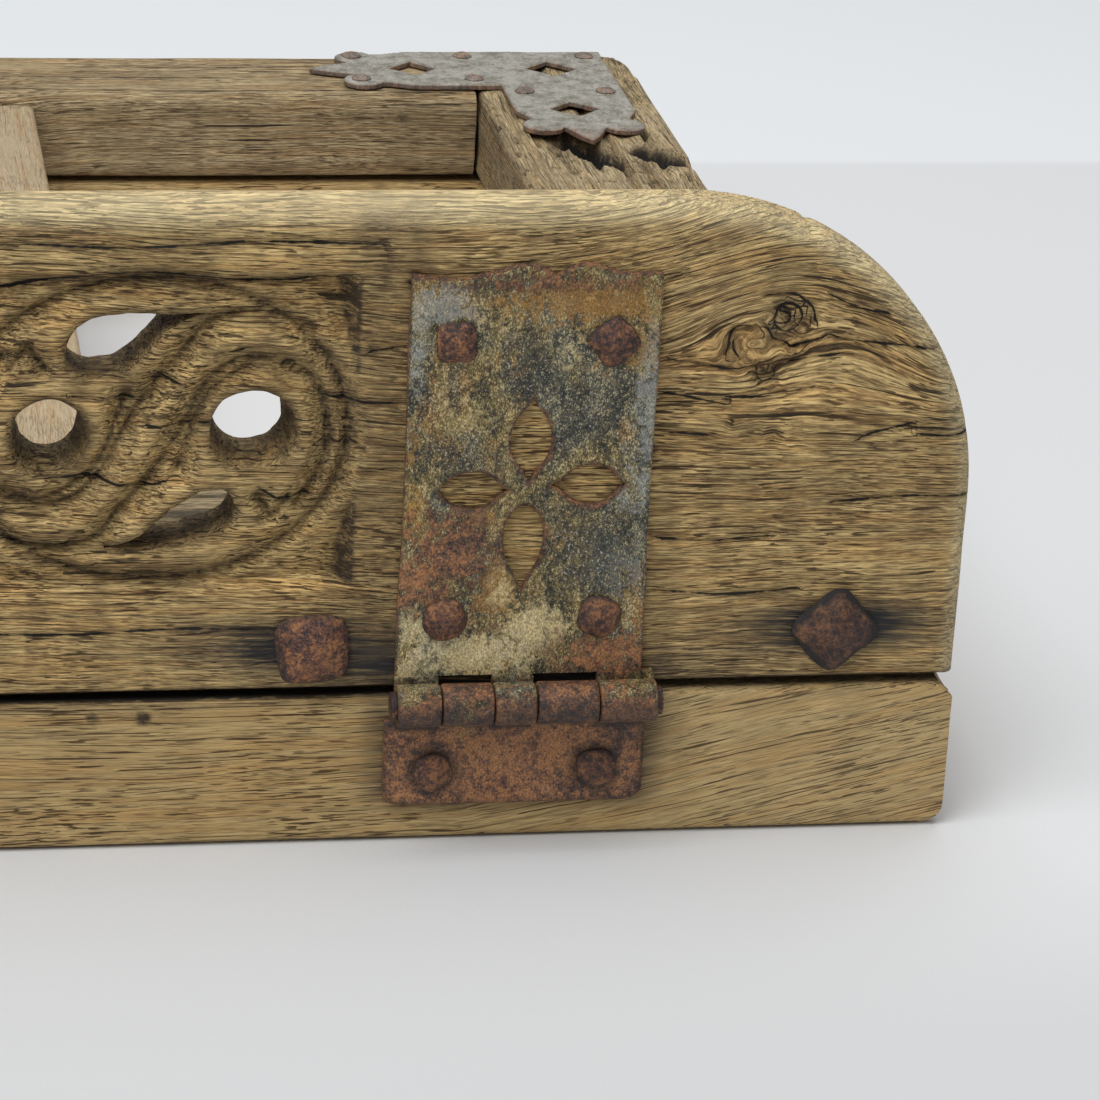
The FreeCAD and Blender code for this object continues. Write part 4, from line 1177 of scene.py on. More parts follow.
def worm_pits(sign, seed, ruin):
    """Depth and dirt of the galleries along the top, and of hollow and notch where the rail is ruined.
    Above 1 the worm holes, the hollow and the notch are painted nearly black as shadow; the inner face gets
    painted shade.
    """
    def pits(points):
        x, y = points[:, 0] * sign, points[:, 1]
        on_top = soft_step(points[:, 2], LID_TOP - 9.0, LID_TOP - 1.0)
        wobble = wander(points, (6, 6, 7), seed + 2)
        inside = soft_step(np.abs(x - RAIL_MIDDLE), 27.0, 18.0)
        galleries = (0.7 + 1.0 * inside) * soft_step(wander(points, (2.5, 26.0, 6.0), seed), 0.16, 0.62)
        galleries += 0.9 * soft_step(wander(points, (5, 60, 9), seed + 1), 0.0, 0.8)
        holes = soft_step(wander(points, (2.2, 3.4, 5.0), seed + 3), 0.58, 0.72)
        hollow = slanted_oval(x, y, HOLLOW_SPOT, 1.3, 8.0, 13.0) + 0.32 * wobble
        notch = slanted_oval(x, y, NOTCH_SPOT, 1.0, 8.5, 8.5) + 0.25 * wobble
        depth = galleries + 2.4 * holes
        depth += ruin * (10.0 * soft_step(hollow, 1.30, 0.45) + 7.0 * soft_step(notch, 1.25, 0.45))
        dirt_and_shade = 0.06 + 0.62 * soft_step(galleries, 0.8, 2.2) + 1.10 * holes
        # painted shadow: the hollow and the notch go above 1, which paints them nearly black
        dirt_and_shade += ruin * (1.90 * soft_step(hollow, 1.14, 0.84) + 1.90 * soft_step(notch, 1.10, 0.84))
        # painted shade on the rail's inner face
        inner = 0.42 * soft_step(x, INNER_END + 4.0, INNER_END + 1.0)
        return on_top * depth, np.maximum(on_top * np.clip(dirt_and_shade, 0.0, 1.9), inner)
    return pits


def back_splits(points):
    """The long crack along the back rail's inner top edge, and shorter ones beside it, seen from above."""
    return np.where(points[:, 2] > LID_TOP - 4, crack_field(points[:, :2], BACK_CRACKS), NO_CRACK)


def back_shade(points):
    """The back rail is darker on its inner face towards its ends."""
    inner = soft_step(points[:, 1], lid_back_low[1] + 9.0, lid_back_low[1] + 2.0)
    return 0.20 * inner * soft_step(np.abs(points[:, 0]), 140.0, 180.0)


def dry_top(points):
    """Upper faces are bleached by the weather."""
    return 0.20 * soft_step(points[:, 2], LID_TOP - 3.0, LID_TOP - 0.6)


def front_streaks(points):
    """Dark lines that the weather has opened along the top of the front rail."""
    lines = soft_step(wander(points, (70.0, 1.5, 9.0), 61), 0.10, 0.42)
    return 1.15 * lines * soft_step(points[:, 2], LID_TOP - 3.0, LID_TOP - 1.0)


between_ends = (-INNER_END, INNER_END)
worn_rail("lid_front_rail", 0, oak_lid, 6, (0.8, 3.0), 2.0, 0.9, span=between_ends,
          hollow=front_streaks, bleach=dry_top)
worn_rail("lid_back_rail", 0, oak_lid, 7, (1.7, 2.2), 5.0, 1.1, span=between_ends,
          cracks=back_splits, hollow=back_shade)
for side, sign, ruin in (("left", -1, 0.0), ("right", 1, 1.0)):
    worn_rail(f"lid_end_rail_{side}", 1, oak_lid, 9 + sign, (1.1, 1.5), 2.6, 1.2,
              pits=worm_pits(sign, 40 + 5 * sign, ruin), reshape=rounded_corner(sign), bleach=dry_top)
worn_rail("lid_divider", 1, oak_divider, 12, (2.0, 2.6), 2.4, 0.8, span=(lid_front_high[1], lid_back_low[1]))

# %% [markdown]
# ## Rust and patina
# Old wrought iron is never one colour. Rust is a dark purple-brown skin with red and orange bloom on it, and it
# is rough. The hinge leaves also keep remains of a grey-green coating with cream flecks. Rust is used on every
# iron piece, so it is one effect; the mottled coating is another, shared by leaves and brackets.

# %% Rust effect
PURPLE_SKIN, RED_RUST = (0.026, 0.017, 0.019, 1), (0.165, 0.070, 0.042, 1)
ORANGE_BLOOM, RUST_DUST = (0.410, 0.182, 0.070, 1), (0.33, 0.19, 0.105, 1)

rust, given = effect("rust", "", "Bloom")
place = given["Place"]
broad, lumps = place.specks(0.17, 4.0, 0.6), place.specks(0.55, 4.0, 0.65)
grit, fine = place.specks(1.5, 4.0, 0.7), place.specks(3.4, 2.0, 0.6)
mixed = 0.42 * broad + 0.66 * lumps + 0.72 * grit - 0.125 + given["Bloom"]
shade = blended(mixed.ramp(0.66, 0.80), PURPLE_SKIN, RED_RUST)
shade = blended(mixed.ramp(0.79, 0.92), shade, ORANGE_BLOOM)
shade = blended(fine.ramp(0.60, 0.70, 0.0, 0.50), shade, RUST_DUST)
put(rust, "NodeGroupOutput", {"Colour": shade, "Height": 0.8 * grit + 0.35 * fine})
print("rust:", len(rust.nodes), "nodes")

# %% Mottled coating effect
coating, given = effect("mottled_coating", "Ground Mid Fleck", "Flecks")
place = given["Place"]
patches = place.cloud((0.20, 0.20, 0.12), 5.0, 0.62)
mottle = place.cloud((0.85, 0.85, 0.65), 5.0, 0.72)
strokes = place.cloud((3.1, 3.1, 2.0), 3.0, 0.7, 0.6)
shade = blended((0.55 * patches + 0.55 * mottle).ramp(0.43, 0.64), given["Ground"], given["Mid"])
flecks = (0.35 * mottle + strokes + 0.30 * patches).ramp(0.84, 0.95).held(given["Flecks"])
shade = blended(flecks, shade, given["Fleck"])
put(coating, "NodeGroupOutput", {"Colour": shade, "Height": 0.6 * mottle + 0.5 * strokes})
print("coating:", len(coating.nodes), "nodes")

# %% Iron finishes
SOOT_AND_SHADE, WHITE_SPOT = (0.016, 0.013, 0.013, 1), (0.66, 0.66, 0.60, 1)
OLIVE, GREY_GREEN, RUSTY_BROWN = (0.215, 0.150, 0.036, 1), (0.098, 0.104, 0.082, 1), (0.31, 0.145, 0.026, 1)
LEAF_COATING = {"Ground": (0.017, 0.019, 0.015, 1), "Fleck": (0.66, 0.55, 0.29, 1), "Flecks": 0.8}
BRACKET_COATING = {"Ground": (0.175, 0.160, 0.124, 1), "Mid": (0.34, 0.330, 0.285, 1),
                   "Fleck": (0.56, 0.54, 0.48, 1), "Flecks": 0.6}
ZONE_TINTS = {
    # colour and strength of each zone on the leaves, in the order in which they are laid on
    # the first zone, pale grey, is a painted sheen of light on the iron, strongest along the leaf's side edges
    "pale": ((0.44, 0.46, 0.43, 1), 0.50), "black": ((0.020, 0.023, 0.021, 1), 0.66),
    "amber": ((0.39, 0.195, 0.034, 1), 0.66), "cream": ((0.80, 0.66, 0.35, 1), 0.60),
}


def sooted_and_shaded(colour):
    """Darken a colour where the points carry the soot mark, which holds soot and painted shade."""
    return blended(mark(colour.tree, "soot"), colour, SOOT_AND_SHADE)


def rusty(bloom):
    """Bare rusted iron, more orange where the bloom is higher."""
    def look(tree):
        skin = use(rust, object_mm(tree), Bloom=bloom)
        return sooted_and_shaded(skin["Colour"]), skin["Height"].ramp(0.3, 0.9, 0.50, 0.85), skin["Height"]
    return look


def leaf_look(tree):
    """Hinge leaf: the coating in three broad tints, under the marked zones of other tints, one a painted sheen,
    and of rust.
    """
    place = object_mm(tree)
    middle = blended(place.cloud((0.085, 0.085, 0.06), 3.0, 0.6).ramp(0.42, 0.60), OLIVE, GREY_GREEN)
    warm = place.cloud((0.13, 0.11, 0.09), 3.0, 0.6).ramp(0.54, 0.68, 0.0, 0.70)
    skin = use(coating, place, Mid=blended(warm, middle, RUSTY_BROWN), **LEAF_COATING)
    rusted = use(rust, place, Bloom=mark(tree, "bloom") + 0.03)
    ragged = place.cloud((0.45, 0.45, 0.40), 6.0, 0.72)
    shift = ragged.ramp(0.25, 0.75, -0.55, 0.55)

    def zone(name):
        return (mark(tree, name) + shift).ramp(0.36, 0.86)

    colour = skin["Colour"]
    for name, (tint, strength) in ZONE_TINTS.items():
        colour = blended(strength * zone(name), colour, tint)
    rust_share = zone("rusted")
    colour = blended(0.92 * rust_share, colour, rusted["Colour"])
    grit = place.cloud((2.2, 2.2, 1.5), 3.0, 0.7).ramp(0.32, 0.68, 0.55, 1.45)
    colour = blended(1.0, colour, grit, "MULTIPLY")
    spots = place.specks(1.7, 2.0).ramp(0.60, 0.68).held(zone("black") + 0.10)
    colour = blended(0.7 * spots, colour, WHITE_SPOT)
    height = skin["Height"] + rust_share * rusted["Height"]
    return sooted_and_shaded(colour), ragged.ramp(0.25, 0.75, 0.38, 0.66), height


def bracket_look(tree):
    """Bracket: dull grey plate, brown in the corners and rusty along some edges."""
    place = object_mm(tree)
    skin = use(coating, place, **BRACKET_COATING)
    rusted = use(rust, place, Bloom=0.0)
    colour = blended(0.8 * mark(tree, "rusted"), skin["Colour"], rusted["Colour"])
    return colour, skin["Height"].ramp(0.3, 0.8, 0.45, 0.65), skin["Height"]


leaf_iron = finish_with("leaf_iron", leaf_look, 0.30)
rusty_iron = finish_with("rusty_iron", rusty(0.015), 0.35)
dark_iron = finish_with("dark_iron", rusty(-0.10), 0.35)
bracket_iron = finish_with("bracket_iron", bracket_look, 0.20)
print("iron finishes ready")

# %% [markdown]
# ## Hinge leaves
# Each hinge is cut from plate about two millimetres thick. The long leaf ends in a double wave and is pierced
# with four pointed openings set like a cross; the lowest has a long point. Below, tongues of the plate are
# rolled round the pin. The plate is a pierced sheet; each rolled tongue is its outline carried along the pin.
# Places on a hinge are measured from the middle of its pin.

# %% Hinge measures
PIN = np.array((HINGE_X, -217.75, 37.0))
PLATE, PLATE_BACK = 2.0, 0.02
KNUCKLE, KNUCKLE_GAP, RELIEF = 5.0, 0.35, 5.8
LEAF_HALF, LEAF_TALL = 29.0, 103.0
KNUCKLE_ENDS = -LEAF_HALF + np.cumsum((0.0, 10.4, 12.2, 10.0, 14.6, 13.8))
LONG_TONGUES, SHORT_TONGUES = (0, 2, 4), (1, 3)
LEAF_TOP = np.array([
    # distance from the left corner and rise of the wavy upper edge
    (0.0, 0.2), (4.0, -0.6), (9.0, -1.1), (14.0, -0.7), (20.0, 0.7), (24.0, 2.0), (26.5, 2.4), (29.0, 2.0),
    (32.0, 0.6), (33.3, -0.5), (34.6, 0.6), (38.0, 2.1), (40.5, 2.5), (43.0, 2.0), (47.0, 0.5), (51.0, 0.0),
    (55.0, 0.3), (58.0, 0.1),
])
POINTED = np.array([(0.0, 1.0), (0.2, 0.975), (0.38, 0.87), (0.54, 0.67), (0.67, 0.44), (0.78, 0.24),
                    (0.88, 0.11), (1.0, 0.03)])
BLUNT = np.array([(0.0, 1.0), (0.3, 0.955), (0.55, 0.82), (0.75, 0.60), (0.9, 0.33), (1.0, 0.06)])


def pointed_opening(middle, half_width, upper, lower, level=False):
    """Outline of an opening: its half width falls from the middle to each end along an end shape of its own.

    Each end is its reach and its shape. A level opening lies on its side, with its upper end to the right.
    """
    share = np.linspace(0, 1, 21)
    halves = [np.c_[half_width * np.interp(share, *shape.T), reach * share] for reach, shape in (upper, lower)]
    side = np.concatenate([halves[1][:0:-1] * (1, -1), halves[0]])
    loop = np.concatenate([side, side[::-1] * (-1, 1)])
    return np.array(middle) + (loop[:, ::-1] if level else loop)


PIERCINGS = [
    pointed_opening((0.3, 63.2), 4.8, (10.5, POINTED), (9.9, POINTED)),
    pointed_opening((-12.3, 51.3), 4.5, (7.8, POINTED), (7.9, BLUNT), True),
    pointed_opening((15.2, 52.4), 4.9, (7.4, POINTED), (9.7, POINTED), True),
    pointed_opening((-0.4, 40.2), 4.7, (7.6, BLUNT), (14.0, POINTED)),
]
print("knuckle ends", KNUCKLE_ENDS.round(1))

# %% Rolled knuckles
TONGUE_FRONT, TONGUE_BACK = 3.5, 5.5


def rolled_knuckle(inner, outer, upwards):
    """A tongue rolled round the pin: its outline in the plane across the pin, carried along the pin.

    The outline is the tongue's back, three quarters of a circle, and the tongue's front. Both ends are rounded
    over and closed by a flat face.
    """
    turn = np.linspace(0.0, -2 * np.pi + np.arccos(TONGUE_FRONT / KNUCKLE), 40)[1:]
    outline = np.concatenate([
        [(TONGUE_BACK, RELIEF), (TONGUE_BACK, RELIEF / 2), (5.3, 0.6)],
        KNUCKLE * np.c_[np.cos(turn), np.sin(turn)],
        [(TONGUE_FRONT, 4.6), (TONGUE_FRONT, RELIEF)]])
    outline = outline if upwards else outline * (1, -1)
    inset = np.array((0.55, 0.16, 0.0, 0.0, 0.0, 0.16, 0.55))
    width = outer - inner - KNUCKLE_GAP
    place = inner + KNUCKLE_GAP / 2 + np.array((0.0, 0.2, 0.6, width / 2, width - 0.6, width - 0.2, width))
    swell = np.linalg.norm(outline, axis=1, keepdims=True)
    rings = outline[None] * (1.0 - inset[:, None, None] / np.maximum(swell, 4.0)[None])
    around = len(outline)
    points = np.concatenate([np.repeat(place, around)[:, None], rings.reshape(-1, 2)], axis=1)
    faces = grid_quads(len(place), around, closed=True)
    caps = [list(range(around))[::-1], list(range((len(place) - 1) * around, len(place) * around))]
    if upwards:
        faces, caps = faces[:, ::-1], [cap[::-1] for cap in caps]
    return points, [*faces.tolist(), *caps]


def hinge_leaf(spots, faces, walls, front, tongues, upwards):
    """A leaf: its plate, and the tongues that are rolled from it."""
    plate = sheet_shell(spots, faces, walls, front, 0.0 * front + PLATE_BACK, upright(FRONT_Y - PIN[1]))
    return merged([plate] + [rolled_knuckle(*KNUCKLE_ENDS[k:k + 2], upwards) for k in tongues])


def hammered(spots, deep, size, fine_deep, fine_size, seed):
    """Dents that the hammer left in a plate: broad ones, and fine ones on top."""
    places = np.c_[spots, spots[:, 0]]
    return deep * dents(places, size, seed) + fine_deep * dents(places, fine_size, seed + 1)


print("knuckle of", len(rolled_knuckle(0.0, 10.0, True)[0]), "points")

# %% Long leaves


def leaf_top(x):
    """Height of the leaf's wavy upper edge."""
    return LEAF_TALL + np.interp(x + LEAF_HALF, *LEAF_TOP.T)


def off_piercings(spots):
    """Distance from the nearest opening of the leaf, negative inside it."""
    return -inside_any(spots, PIERCINGS, 6.0)


def long_leaf():
    """The right-hand long leaf: plate, hammered a little uneven, with wavy sides, and its rolled tongues."""
    x, share = np.linspace(-LEAF_HALF, LEAF_HALF, 84), np.linspace(0, 1, 140)
    flat = np.stack([np.tile(x, (len(share), 1)), RELIEF + share[:, None] * (leaf_top(x) - RELIEF)[None]], -1)
    wave = 0.5 * wander(on_plane(flat.reshape(-1, 2)), (300, 21, 9), 61).reshape(flat.shape[:2])
    outwards = np.sign(flat[..., 0]) * soft_step(np.abs(flat[..., 0]), 20, LEAF_HALF)
    flat[..., 0] += wave * outwards - 0.35 * outwards
    spots, faces, walls = pierced_sheet(flat, off_piercings)
    away = np.minimum(LEAF_HALF - np.abs(spots[:, 0]), leaf_top(spots[:, 0]) - spots[:, 1])
    hole = off_piercings(spots)
    front = PLATE - edge_fall(np.maximum(away, 0), 0.8) - 0.7 * edge_fall(np.maximum(hole, 0), 0.7)
    front = front - hammered(spots, 0.16, 9.0, 0.06, 2.2, 62)
    points, all_faces = hinge_leaf(spots, faces, walls, front, LONG_TONGUES, True)
    rim = np.zeros(len(points))
    rim[:len(spots)] = bell(np.minimum(away, hole), 0.75)
    rim[len(spots):2 * len(spots)] = 1.0
    return points, all_faces, rim


def blob(points, spots):
    """Soft round patches on the leaf: (across, up, half width, half height, strength) for each."""
    total = np.zeros(len(points))
    for across, high, wide, tall, strength in spots:
        off = ((points[:, 0] - across) / wide)**2 + ((points[:, 2] - high) / tall)**2
        total = np.maximum(total, strength * np.exp(-0.7 * off))
    return total


LEAF_ZONES = {
    "rusted": [(-18, 37, 11, 10, 1.0), (-24, 30, 8, 9, 0.95), (-6, 20, 3, 4, 0.6), (-8, 39, 5, 4, 0.6),
               (20, 10, 13, 6, 1.0), (4, 101, 26, 2.5, 0.75), (0, -2.5, 70, 5.4, 1.5)],
    "amber": [(10, 97, 21, 6, 1.05), (20, 86, 9, 7, 0.70), (-10, 46, 5, 4, 0.80), (-6, 27, 5, 9, 1.1),
              (-26, 46, 3.5, 7, 0.85), (-27, 64, 2.5, 8, 0.6), (-22, 30, 5, 5, 0.5), (28, 18, 3, 6, 0.7),
              (-16, 78, 6, 5, 0.5), (8, 16, 7, 4, 0.6)],
    "cream": [(3, 17, 9, 5.5, 1.0), (-25, 18, 5, 6, 0.95), (-10, 11, 16, 5.5, 1.05), (-5, 27, 3.5, 6, 0.85),
              (-26, 8, 5, 4, 0.9), (-13, 48, 5, 4, 0.6), (-16, 72, 8, 10, 0.42), (8, 86, 6, 6, 0.42),
              (-8, 92, 8, 6, 0.36)],
    # the pale grey zone is a painted sheen of light on the iron
    "pale": [(-22, 96, 8, 6, 1.0), (27, 74, 3.5, 18, 0.9), (24, 52, 6, 9, 0.7), (-27, 86, 3, 10, 0.8),
             (-4, 12, 7, 4, 0.7), (-22, 12, 6, 3, 0.7), (22, 33, 8, 8, 0.58)],
    "black": [(15, 36, 9, 12, 1.0), (-2, 82, 8, 10, 0.85), (10, 68, 7, 10, 0.8), (-5, 57, 7, 8, 0.75),
              (12, 46, 9, 5, 0.75), (-20, 60, 7, 7, 0.65), (24, 44, 5, 5, 0.6), (-22, 88, 4, 4, 0.5)],
    "bloom": [(-26, 34, 4, 9, 0.10), (-14, 36, 5, 6, -0.05), (20, 10, 12, 7, 0.09), (0, 3.5, 70, 2.0, 0.02)],
}


def knuckle_soot_and_shade(points):
    """Soot on the rolled tongues, and painted shade on their undersides."""
    return 0.12 * (points[:, 2] < 5.2) + 0.46 * soft_step(points[:, 2], 4.0, -1.5)


leaf_points, leaf_faces, leaf_rim = long_leaf()
leaf_marks = {zone: blob(leaf_points, spots) for zone, spots in LEAF_ZONES.items()}
leaf_marks["rusted"] = np.maximum(leaf_marks["rusted"], 1.05 * leaf_rim)
leaf_marks["soot"] = np.maximum(knuckle_soot_and_shade(leaf_points), 0.30 * leaf_rim)
finished_pair("hinge_long_leaf", leaf_points + PIN, leaf_faces, leaf_iron, leaf_marks)

# %% Short leaves
SHORT_HALF, SHORT_FOOT, SHORT_CORNER = 30.75, 27.5, 4.0
SHORT_NAIL_X, SHORT_NAIL_DROP = 19.25, 18.5


def to_short_edge(spots):
    """Distance in from the short leaf's sides, foot and round lower corners."""
    off = np.c_[np.abs(spots[:, 0]) - (SHORT_HALF - SHORT_CORNER), -spots[:, 1] - (SHORT_FOOT - SHORT_CORNER)]
    past = np.hypot(*np.maximum(off, 0).T)
    return SHORT_CORNER - np.where((off > 0).all(1), past, off.max(1))


def short_leaf():
    """The right-hand short leaf: a plate with round lower corners and its two rolled tongues."""
    flat = np.meshgrid(np.linspace(-SHORT_HALF, SHORT_HALF, 72), np.linspace(-SHORT_FOOT, -RELIEF, 34))
    spots, faces, walls = pierced_sheet(np.stack(flat, -1), lambda here: to_short_edge(here) + 0.02)
    away, top_edge = to_short_edge(spots), np.maximum(-RELIEF - spots[:, 1], 0)
    front = PLATE - edge_fall(np.maximum(away, 0), 0.9) - edge_fall(top_edge, 0.5)
    front = front - hammered(spots, 0.14, 8.0, 0.05, 2.0, 71)
    points, all_faces = hinge_leaf(spots, faces, walls, front, SHORT_TONGUES, False)
    rim = np.zeros(len(points))
    rim[:len(spots)] = soft_step(np.minimum(away, top_edge), 2.6, 0.2)
    return points, all_faces, rim


short_points, short_faces, short_rim = short_leaf()
x, _, z = short_points.T
nail_halo = np.max([bell(np.hypot(x - nail_x, z + SHORT_NAIL_DROP) - 5.0, 1.6)
                    for nail_x in (-SHORT_NAIL_X, SHORT_NAIL_X)], axis=0)
under_long = np.max([(x > KNUCKLE_ENDS[k]) & (x < KNUCKLE_ENDS[k + 1]) for k in LONG_TONGUES], axis=0)
# painted shadow on the short leaf's top edge under the long leaf's knuckles
under_knuckle_shadow = under_long * soft_step(z, -9.0, -7.4) * (z < -RELIEF + 0.1)
short_marks = {
    "rusted": 1.35 - blob(short_points, [(-12.5, 0, 5, 4, 0.95), (-12, -9, 5, 2, 0.5)]),
    "amber": blob(short_points, [(-12.5, 0, 5, 5, 0.6)]),
    "cream": blob(short_points, [(-12, -9, 5, 2, 0.7), (-14, -1, 4, 3, 0.6)]),
    "black": blob(short_points, [(-10, 1, 3, 2, 0.8)]),
    "bloom": np.where(z < -RELIEF, blob(short_points, [(0, -16, 22, 8, 0.12)]) - 0.02, -0.02),
    "soot": np.maximum.reduce([0.62 * nail_halo, 0.40 * short_rim, 0.85 * under_knuckle_shadow,
                               knuckle_soot_and_shade(short_points) * (z > -RELIEF)]),
}
finished_pair("hinge_short_leaf", short_points + PIN, short_faces, leaf_iron, short_marks)

# %% [markdown]
# ## Forged nails
# A smith draws out the shank and spreads the head with a few blows, so no two heads are alike: some are square,
# some stand on a corner, some are round domes. A head is a surface of turn and reach: from the crown out over
# the slope to the rim, and back in underneath.

# %% Nail heads
NAIL_SHARP, NAIL_SINK = 60.0, 0.25
HEAD_REACH = np.array((0.0, 0.16, 0.32, 0.48, 0.62, 0.75, 0.86, 0.94, 1.0, 1.0, 0.96, 0.5))
HEAD_TURNS = 44


def forged_head(width, crown, squareness, turn, facets, seed):
    """Nail head as a surface of turn and reach.

    The rim is a rounded square: a circle for squareness 2, nearly square for 6. The crown falls off towards the
    rim as a dome, mixed with the flat slopes of a pyramid by the facets share, and dents push it in.
    """
    around = np.linspace(0, 2 * np.pi, HEAD_TURNS, endpoint=False)
    ray = np.c_[np.cos(around), np.sin(around)]
    rim_height = min(1.1, 0.32 * crown)
    rim = (np.abs(ray)**squareness).sum(1)**(-1.0 / squareness)
    rim *= 1 + 0.05 * wander(on_plane(2 * ray), 1.0, seed)
    plane = HEAD_REACH[:, None, None] * rim[:, None] * ray
    dome = 1 - HEAD_REACH[:, None]**2.1 + 0 * around
    slope = 1 - np.clip(np.abs(plane).max(-1), 0, 1)**1.25
    height = rim_height + (crown - rim_height) * ((1 - facets) * dome + facets * slope)
    blows = dents(on_plane(plane.reshape(-1, 2) * 2.4), 1.0, seed + 1).reshape(height.shape)
    height = height - 0.09 * crown * blows
    height[-3] = 0.45 * rim_height
    height[-2:] = 0.0
    turned = plane * width / 2 @ np.array(((np.cos(turn), np.sin(turn)), (-np.sin(turn), np.cos(turn))))
    points = np.concatenate([turned, height[..., None]], -1)[1:].reshape(-1, 3)
    points = np.concatenate([points, [(0, 0, height[0, 0])], [(0, 0, 0.0)]])
    rows = len(HEAD_REACH) - 1
    quads = grid_quads(rows, HEAD_TURNS, closed=True)[:, ::-1]
    ends = tube_ends(rows, HEAD_TURNS, len(points) - 2, len(points) - 1)[:, ::-1]
    return points, [*quads.tolist(), *ends.tolist()]


def front_nails(spots, face_y):
    """Nail heads on a front face, each as its x, z, width, crown, squareness, turn, facets, soot and seed."""
    shells, soot = [], []
    for x, z, width, crown, squareness, turn, facets, dark, seed in spots:
        points, faces = forged_head(width, crown, squareness, np.radians(turn), facets, seed)
        shells.append((np.c_[x + points[:, 0], face_y - points[:, 2], z + points[:, 1]], faces))
        soot.append(np.clip(dark + 0.5 * (points[:, 2] < 0.3 * crown), 0, 1))
    return *merged(shells), np.concatenate(soot)


BOARD_NAILS = [
    (84.4, 49.6, 16.6, 4.8, 4.2, 6.0, 0.35, 0.05, 201), (207.2, 51.9, 17.0, 4.9, 4.6, 44.0, 0.7, 0.54, 202),
]
LEAF_NAILS = {
    "long": [
        (114.5, 124.3, 9.3, 3.4, 4.6, 3.0, 0.3, 0.10, 211),
        (150.5, 124.3, 10.4, 3.5, 3.6, 41.0, 0.6, 0.22, 212),
        (114.5, 57.0, 10.2, 3.6, 2.3, 20.0, 0.1, 0.20, 213),
        (150.5, 57.0, 10.0, 3.5, 2.6, 68.0, 0.2, 0.30, 214),
    ],
    "short": [
        (113.25, 18.5, 9.2, 3.5, 2.4, 24.0, 0.1, 0.30, 221),
        (151.75, 18.5, 9.2, 3.5, 3.0, 8.0, 0.45, 0.35, 222),
    ],
}

points, faces, soot = front_nails(BOARD_NAILS, FRONT_Y)
both_halves = merged([(points, faces), mirrored(points, faces)])
finished_piece("board_nails", *both_halves, rusty_iron, {"soot": np.tile(soot, 2)}, NAIL_SHARP)
for leaf, spots in LEAF_NAILS.items():
    points, faces, soot = front_nails(spots, FRONT_Y - PLATE + NAIL_SINK)
    finished_pair(f"{leaf}_leaf_nails", points, faces, rusty_iron, {"soot": soot}, NAIL_SHARP)

# %% [markdown]
# ## Corner brackets
# A flat iron angle holds each back corner. Its two arms end in a point between two round ears, like a plain
# lily, and diamonds are pierced through it. The outline is a union of simple shapes: two bars, four ears and
# two points, and the pierced sheet only needs to know which places lie inside.

# %% Bracket sheets
BRACKET_CORNER = lid_end_high[:2] - (10.0, 3.0)
ARM, ARM_HALF, EAR = 97.0, 19.0, 6.4
BAR_END, EAR_PLACE, POINT_START = 77.0, 81.0, 60.0
POINT_SHAPE = (POINT_START, 76, 84, 92, ARM), (12.0, 10.5, 6.2, 3.2, 0.3)
DIAMONDS = [(ARM_HALF, ARM_HALF, 8.6), (64.0, ARM_HALF, 7.6), (ARM_HALF, 64.0, 8.0)]


def arm_inside(along, across):
    """Distance inside one arm: a bar, two ears and a waisted point; along runs out from the corner."""
    waist = 3.4 * soft_step(along, 64.0, 75.0)
    bar = np.minimum.reduce([ARM_HALF - waist - np.abs(across), BAR_END - along, along])
    ears = EAR - np.hypot(along - EAR_PLACE, np.abs(across) - (ARM_HALF - EAR))
    point = np.minimum(np.interp(along, *POINT_SHAPE) - np.abs(across), ARM - along)
    return np.maximum.reduce([bar, ears, np.where(along > POINT_START, point, -9.0)])


def bracket_inside(spots):
    """Inside the angle and outside its three diamonds; places are measured from the outer corner."""
    x, y = -spots.T
    plate = np.maximum(arm_inside(x, y - ARM_HALF), arm_inside(y, x - ARM_HALF))
    holes = [(size - np.abs(x - a) - np.abs(y - b)) / 1.414 for a, b, size in DIAMONDS]
    return np.minimum(plate, -np.max(holes, axis=0))


def laid_on_lid(spots, height):
    """Lay a bracket's places on top of the lid frame."""
    return np.c_[BRACKET_CORNER + spots, LID_TOP + height]


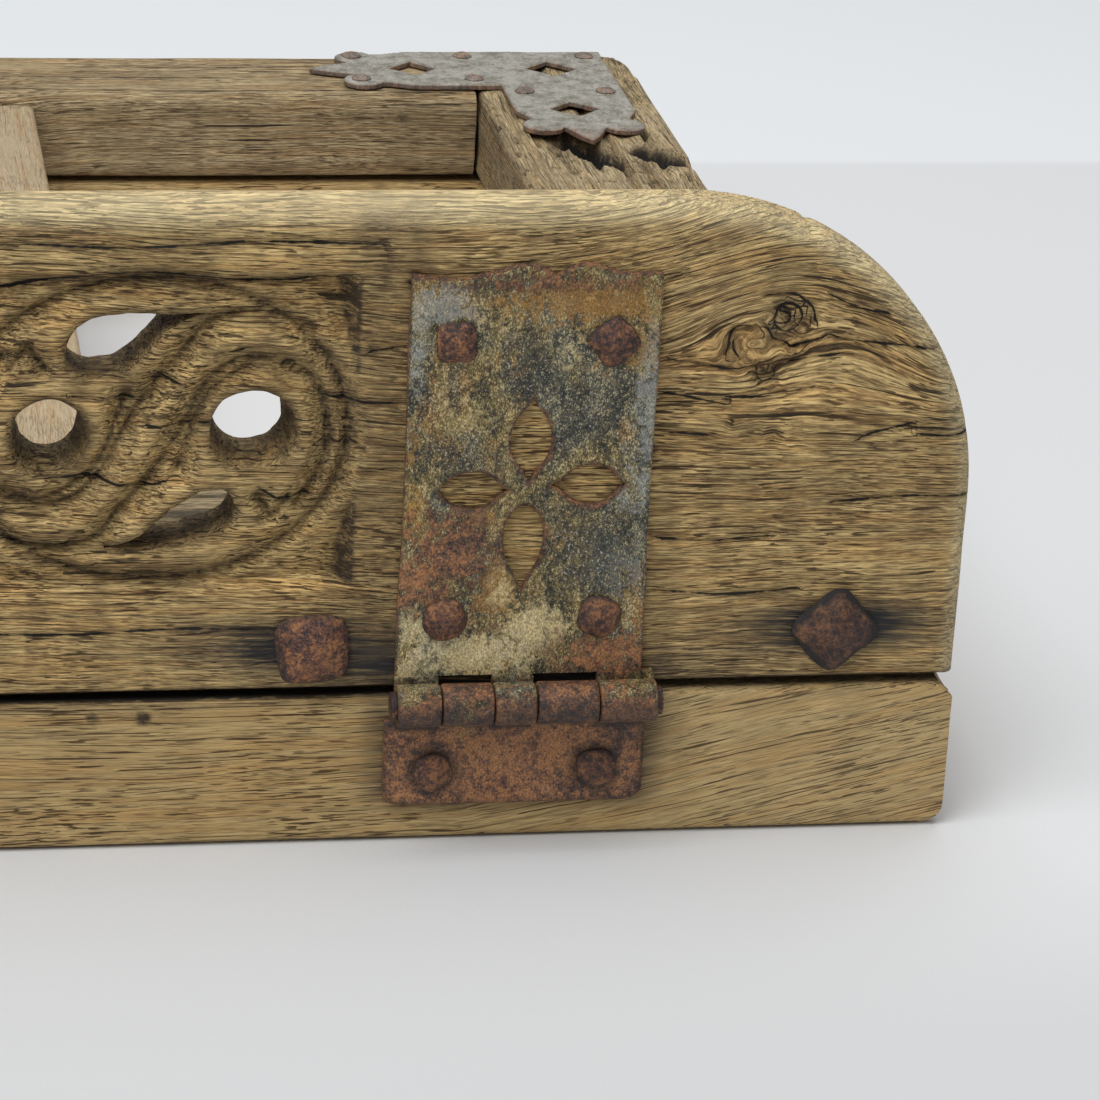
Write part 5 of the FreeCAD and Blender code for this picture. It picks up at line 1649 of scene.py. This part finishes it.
reach = np.linspace(-ARM - 1.0, 0.0, 124)
spots, faces, walls = pierced_sheet(np.stack(np.meshgrid(reach, reach), -1), bracket_inside)
away = np.maximum(bracket_inside(spots), 0.0)
front = PLATE - edge_fall(away, 0.5) - hammered(spots, 0.15, 11.0, 0.06, 2.5, 81)
points, faces = sheet_shell(spots, faces, walls, front, 0.0 * front + PLATE_BACK, laid_on_lid)
brown = np.clip(0.6 - away / 0.9, 0, 1) + 0.5 * soft_step(spots[:, 1], -78, -97)
brown = np.concatenate([np.clip(brown, 0, 1), np.ones(len(spots))])
finished_pair("corner_bracket", points, faces, bracket_iron, {"rusted": brown})

# %% Bracket nails
BRACKET_NAILS = [(-6, -6), (-82, -6), (-82, -32), (-46, -6), (-46, -32), (-6, -46), (-32, -46)]

heads = [forged_head(6.0, 1.7, 2.4, 0.7 * k, 0.2, 231 + k) for k in range(len(BRACKET_NAILS))]
points, faces = merged([(head + (*(BRACKET_CORNER + spot), LID_TOP + PLATE - NAIL_SINK), head_faces)
                        for spot, (head, head_faces) in zip(BRACKET_NAILS, heads)])
finished_pair("bracket_nails", points, faces, bracket_iron, {"rusted": np.full(len(points), 0.75)}, NAIL_SHARP)

# %% [markdown]
# ## Pieces that keep their solids
# Pins and pegs are plain turned or cleft rods that only show at their ends, so their exact solids are kept.
# They still get a finish of their own, read from their place in the part, since they carry no marks.

# %% Pins and pegs


def peg_look(tree):
    """Cleft oak seen on its end: the grain runs along the peg's own axis, which stands upright."""
    turn = {"Vector": object_mm(tree), "Rotation": (0.0, np.pi / 2, 0.0)}
    grain = use(oak_grain, made(tree, "ShaderNodeMapping", turn), Pale=(0.36, 0.26, 0.14, 1),
                Brown=(0.17, 0.11, 0.05, 1), Pore=PORE, Pores=1.0, Cracks=0.6)
    return grain["Colour"], grain["Dark"].ramp(0, 1, 0.7, 0.9), grain["Height"]


oak_pegs = finish_with("peg_oak", peg_look, 0.3)
KEPT_SOLIDS = {"base_pegs": oak_pegs, "lid_pegs": oak_pegs,
               "hinge_pin_left": dark_iron, "hinge_pin_right": dark_iron}
for node, finish in KEPT_SOLIDS.items():
    slots = frame["nodes"][node].data.materials
    slots.clear()
    slots.append(finish)
print("kept solids dressed")
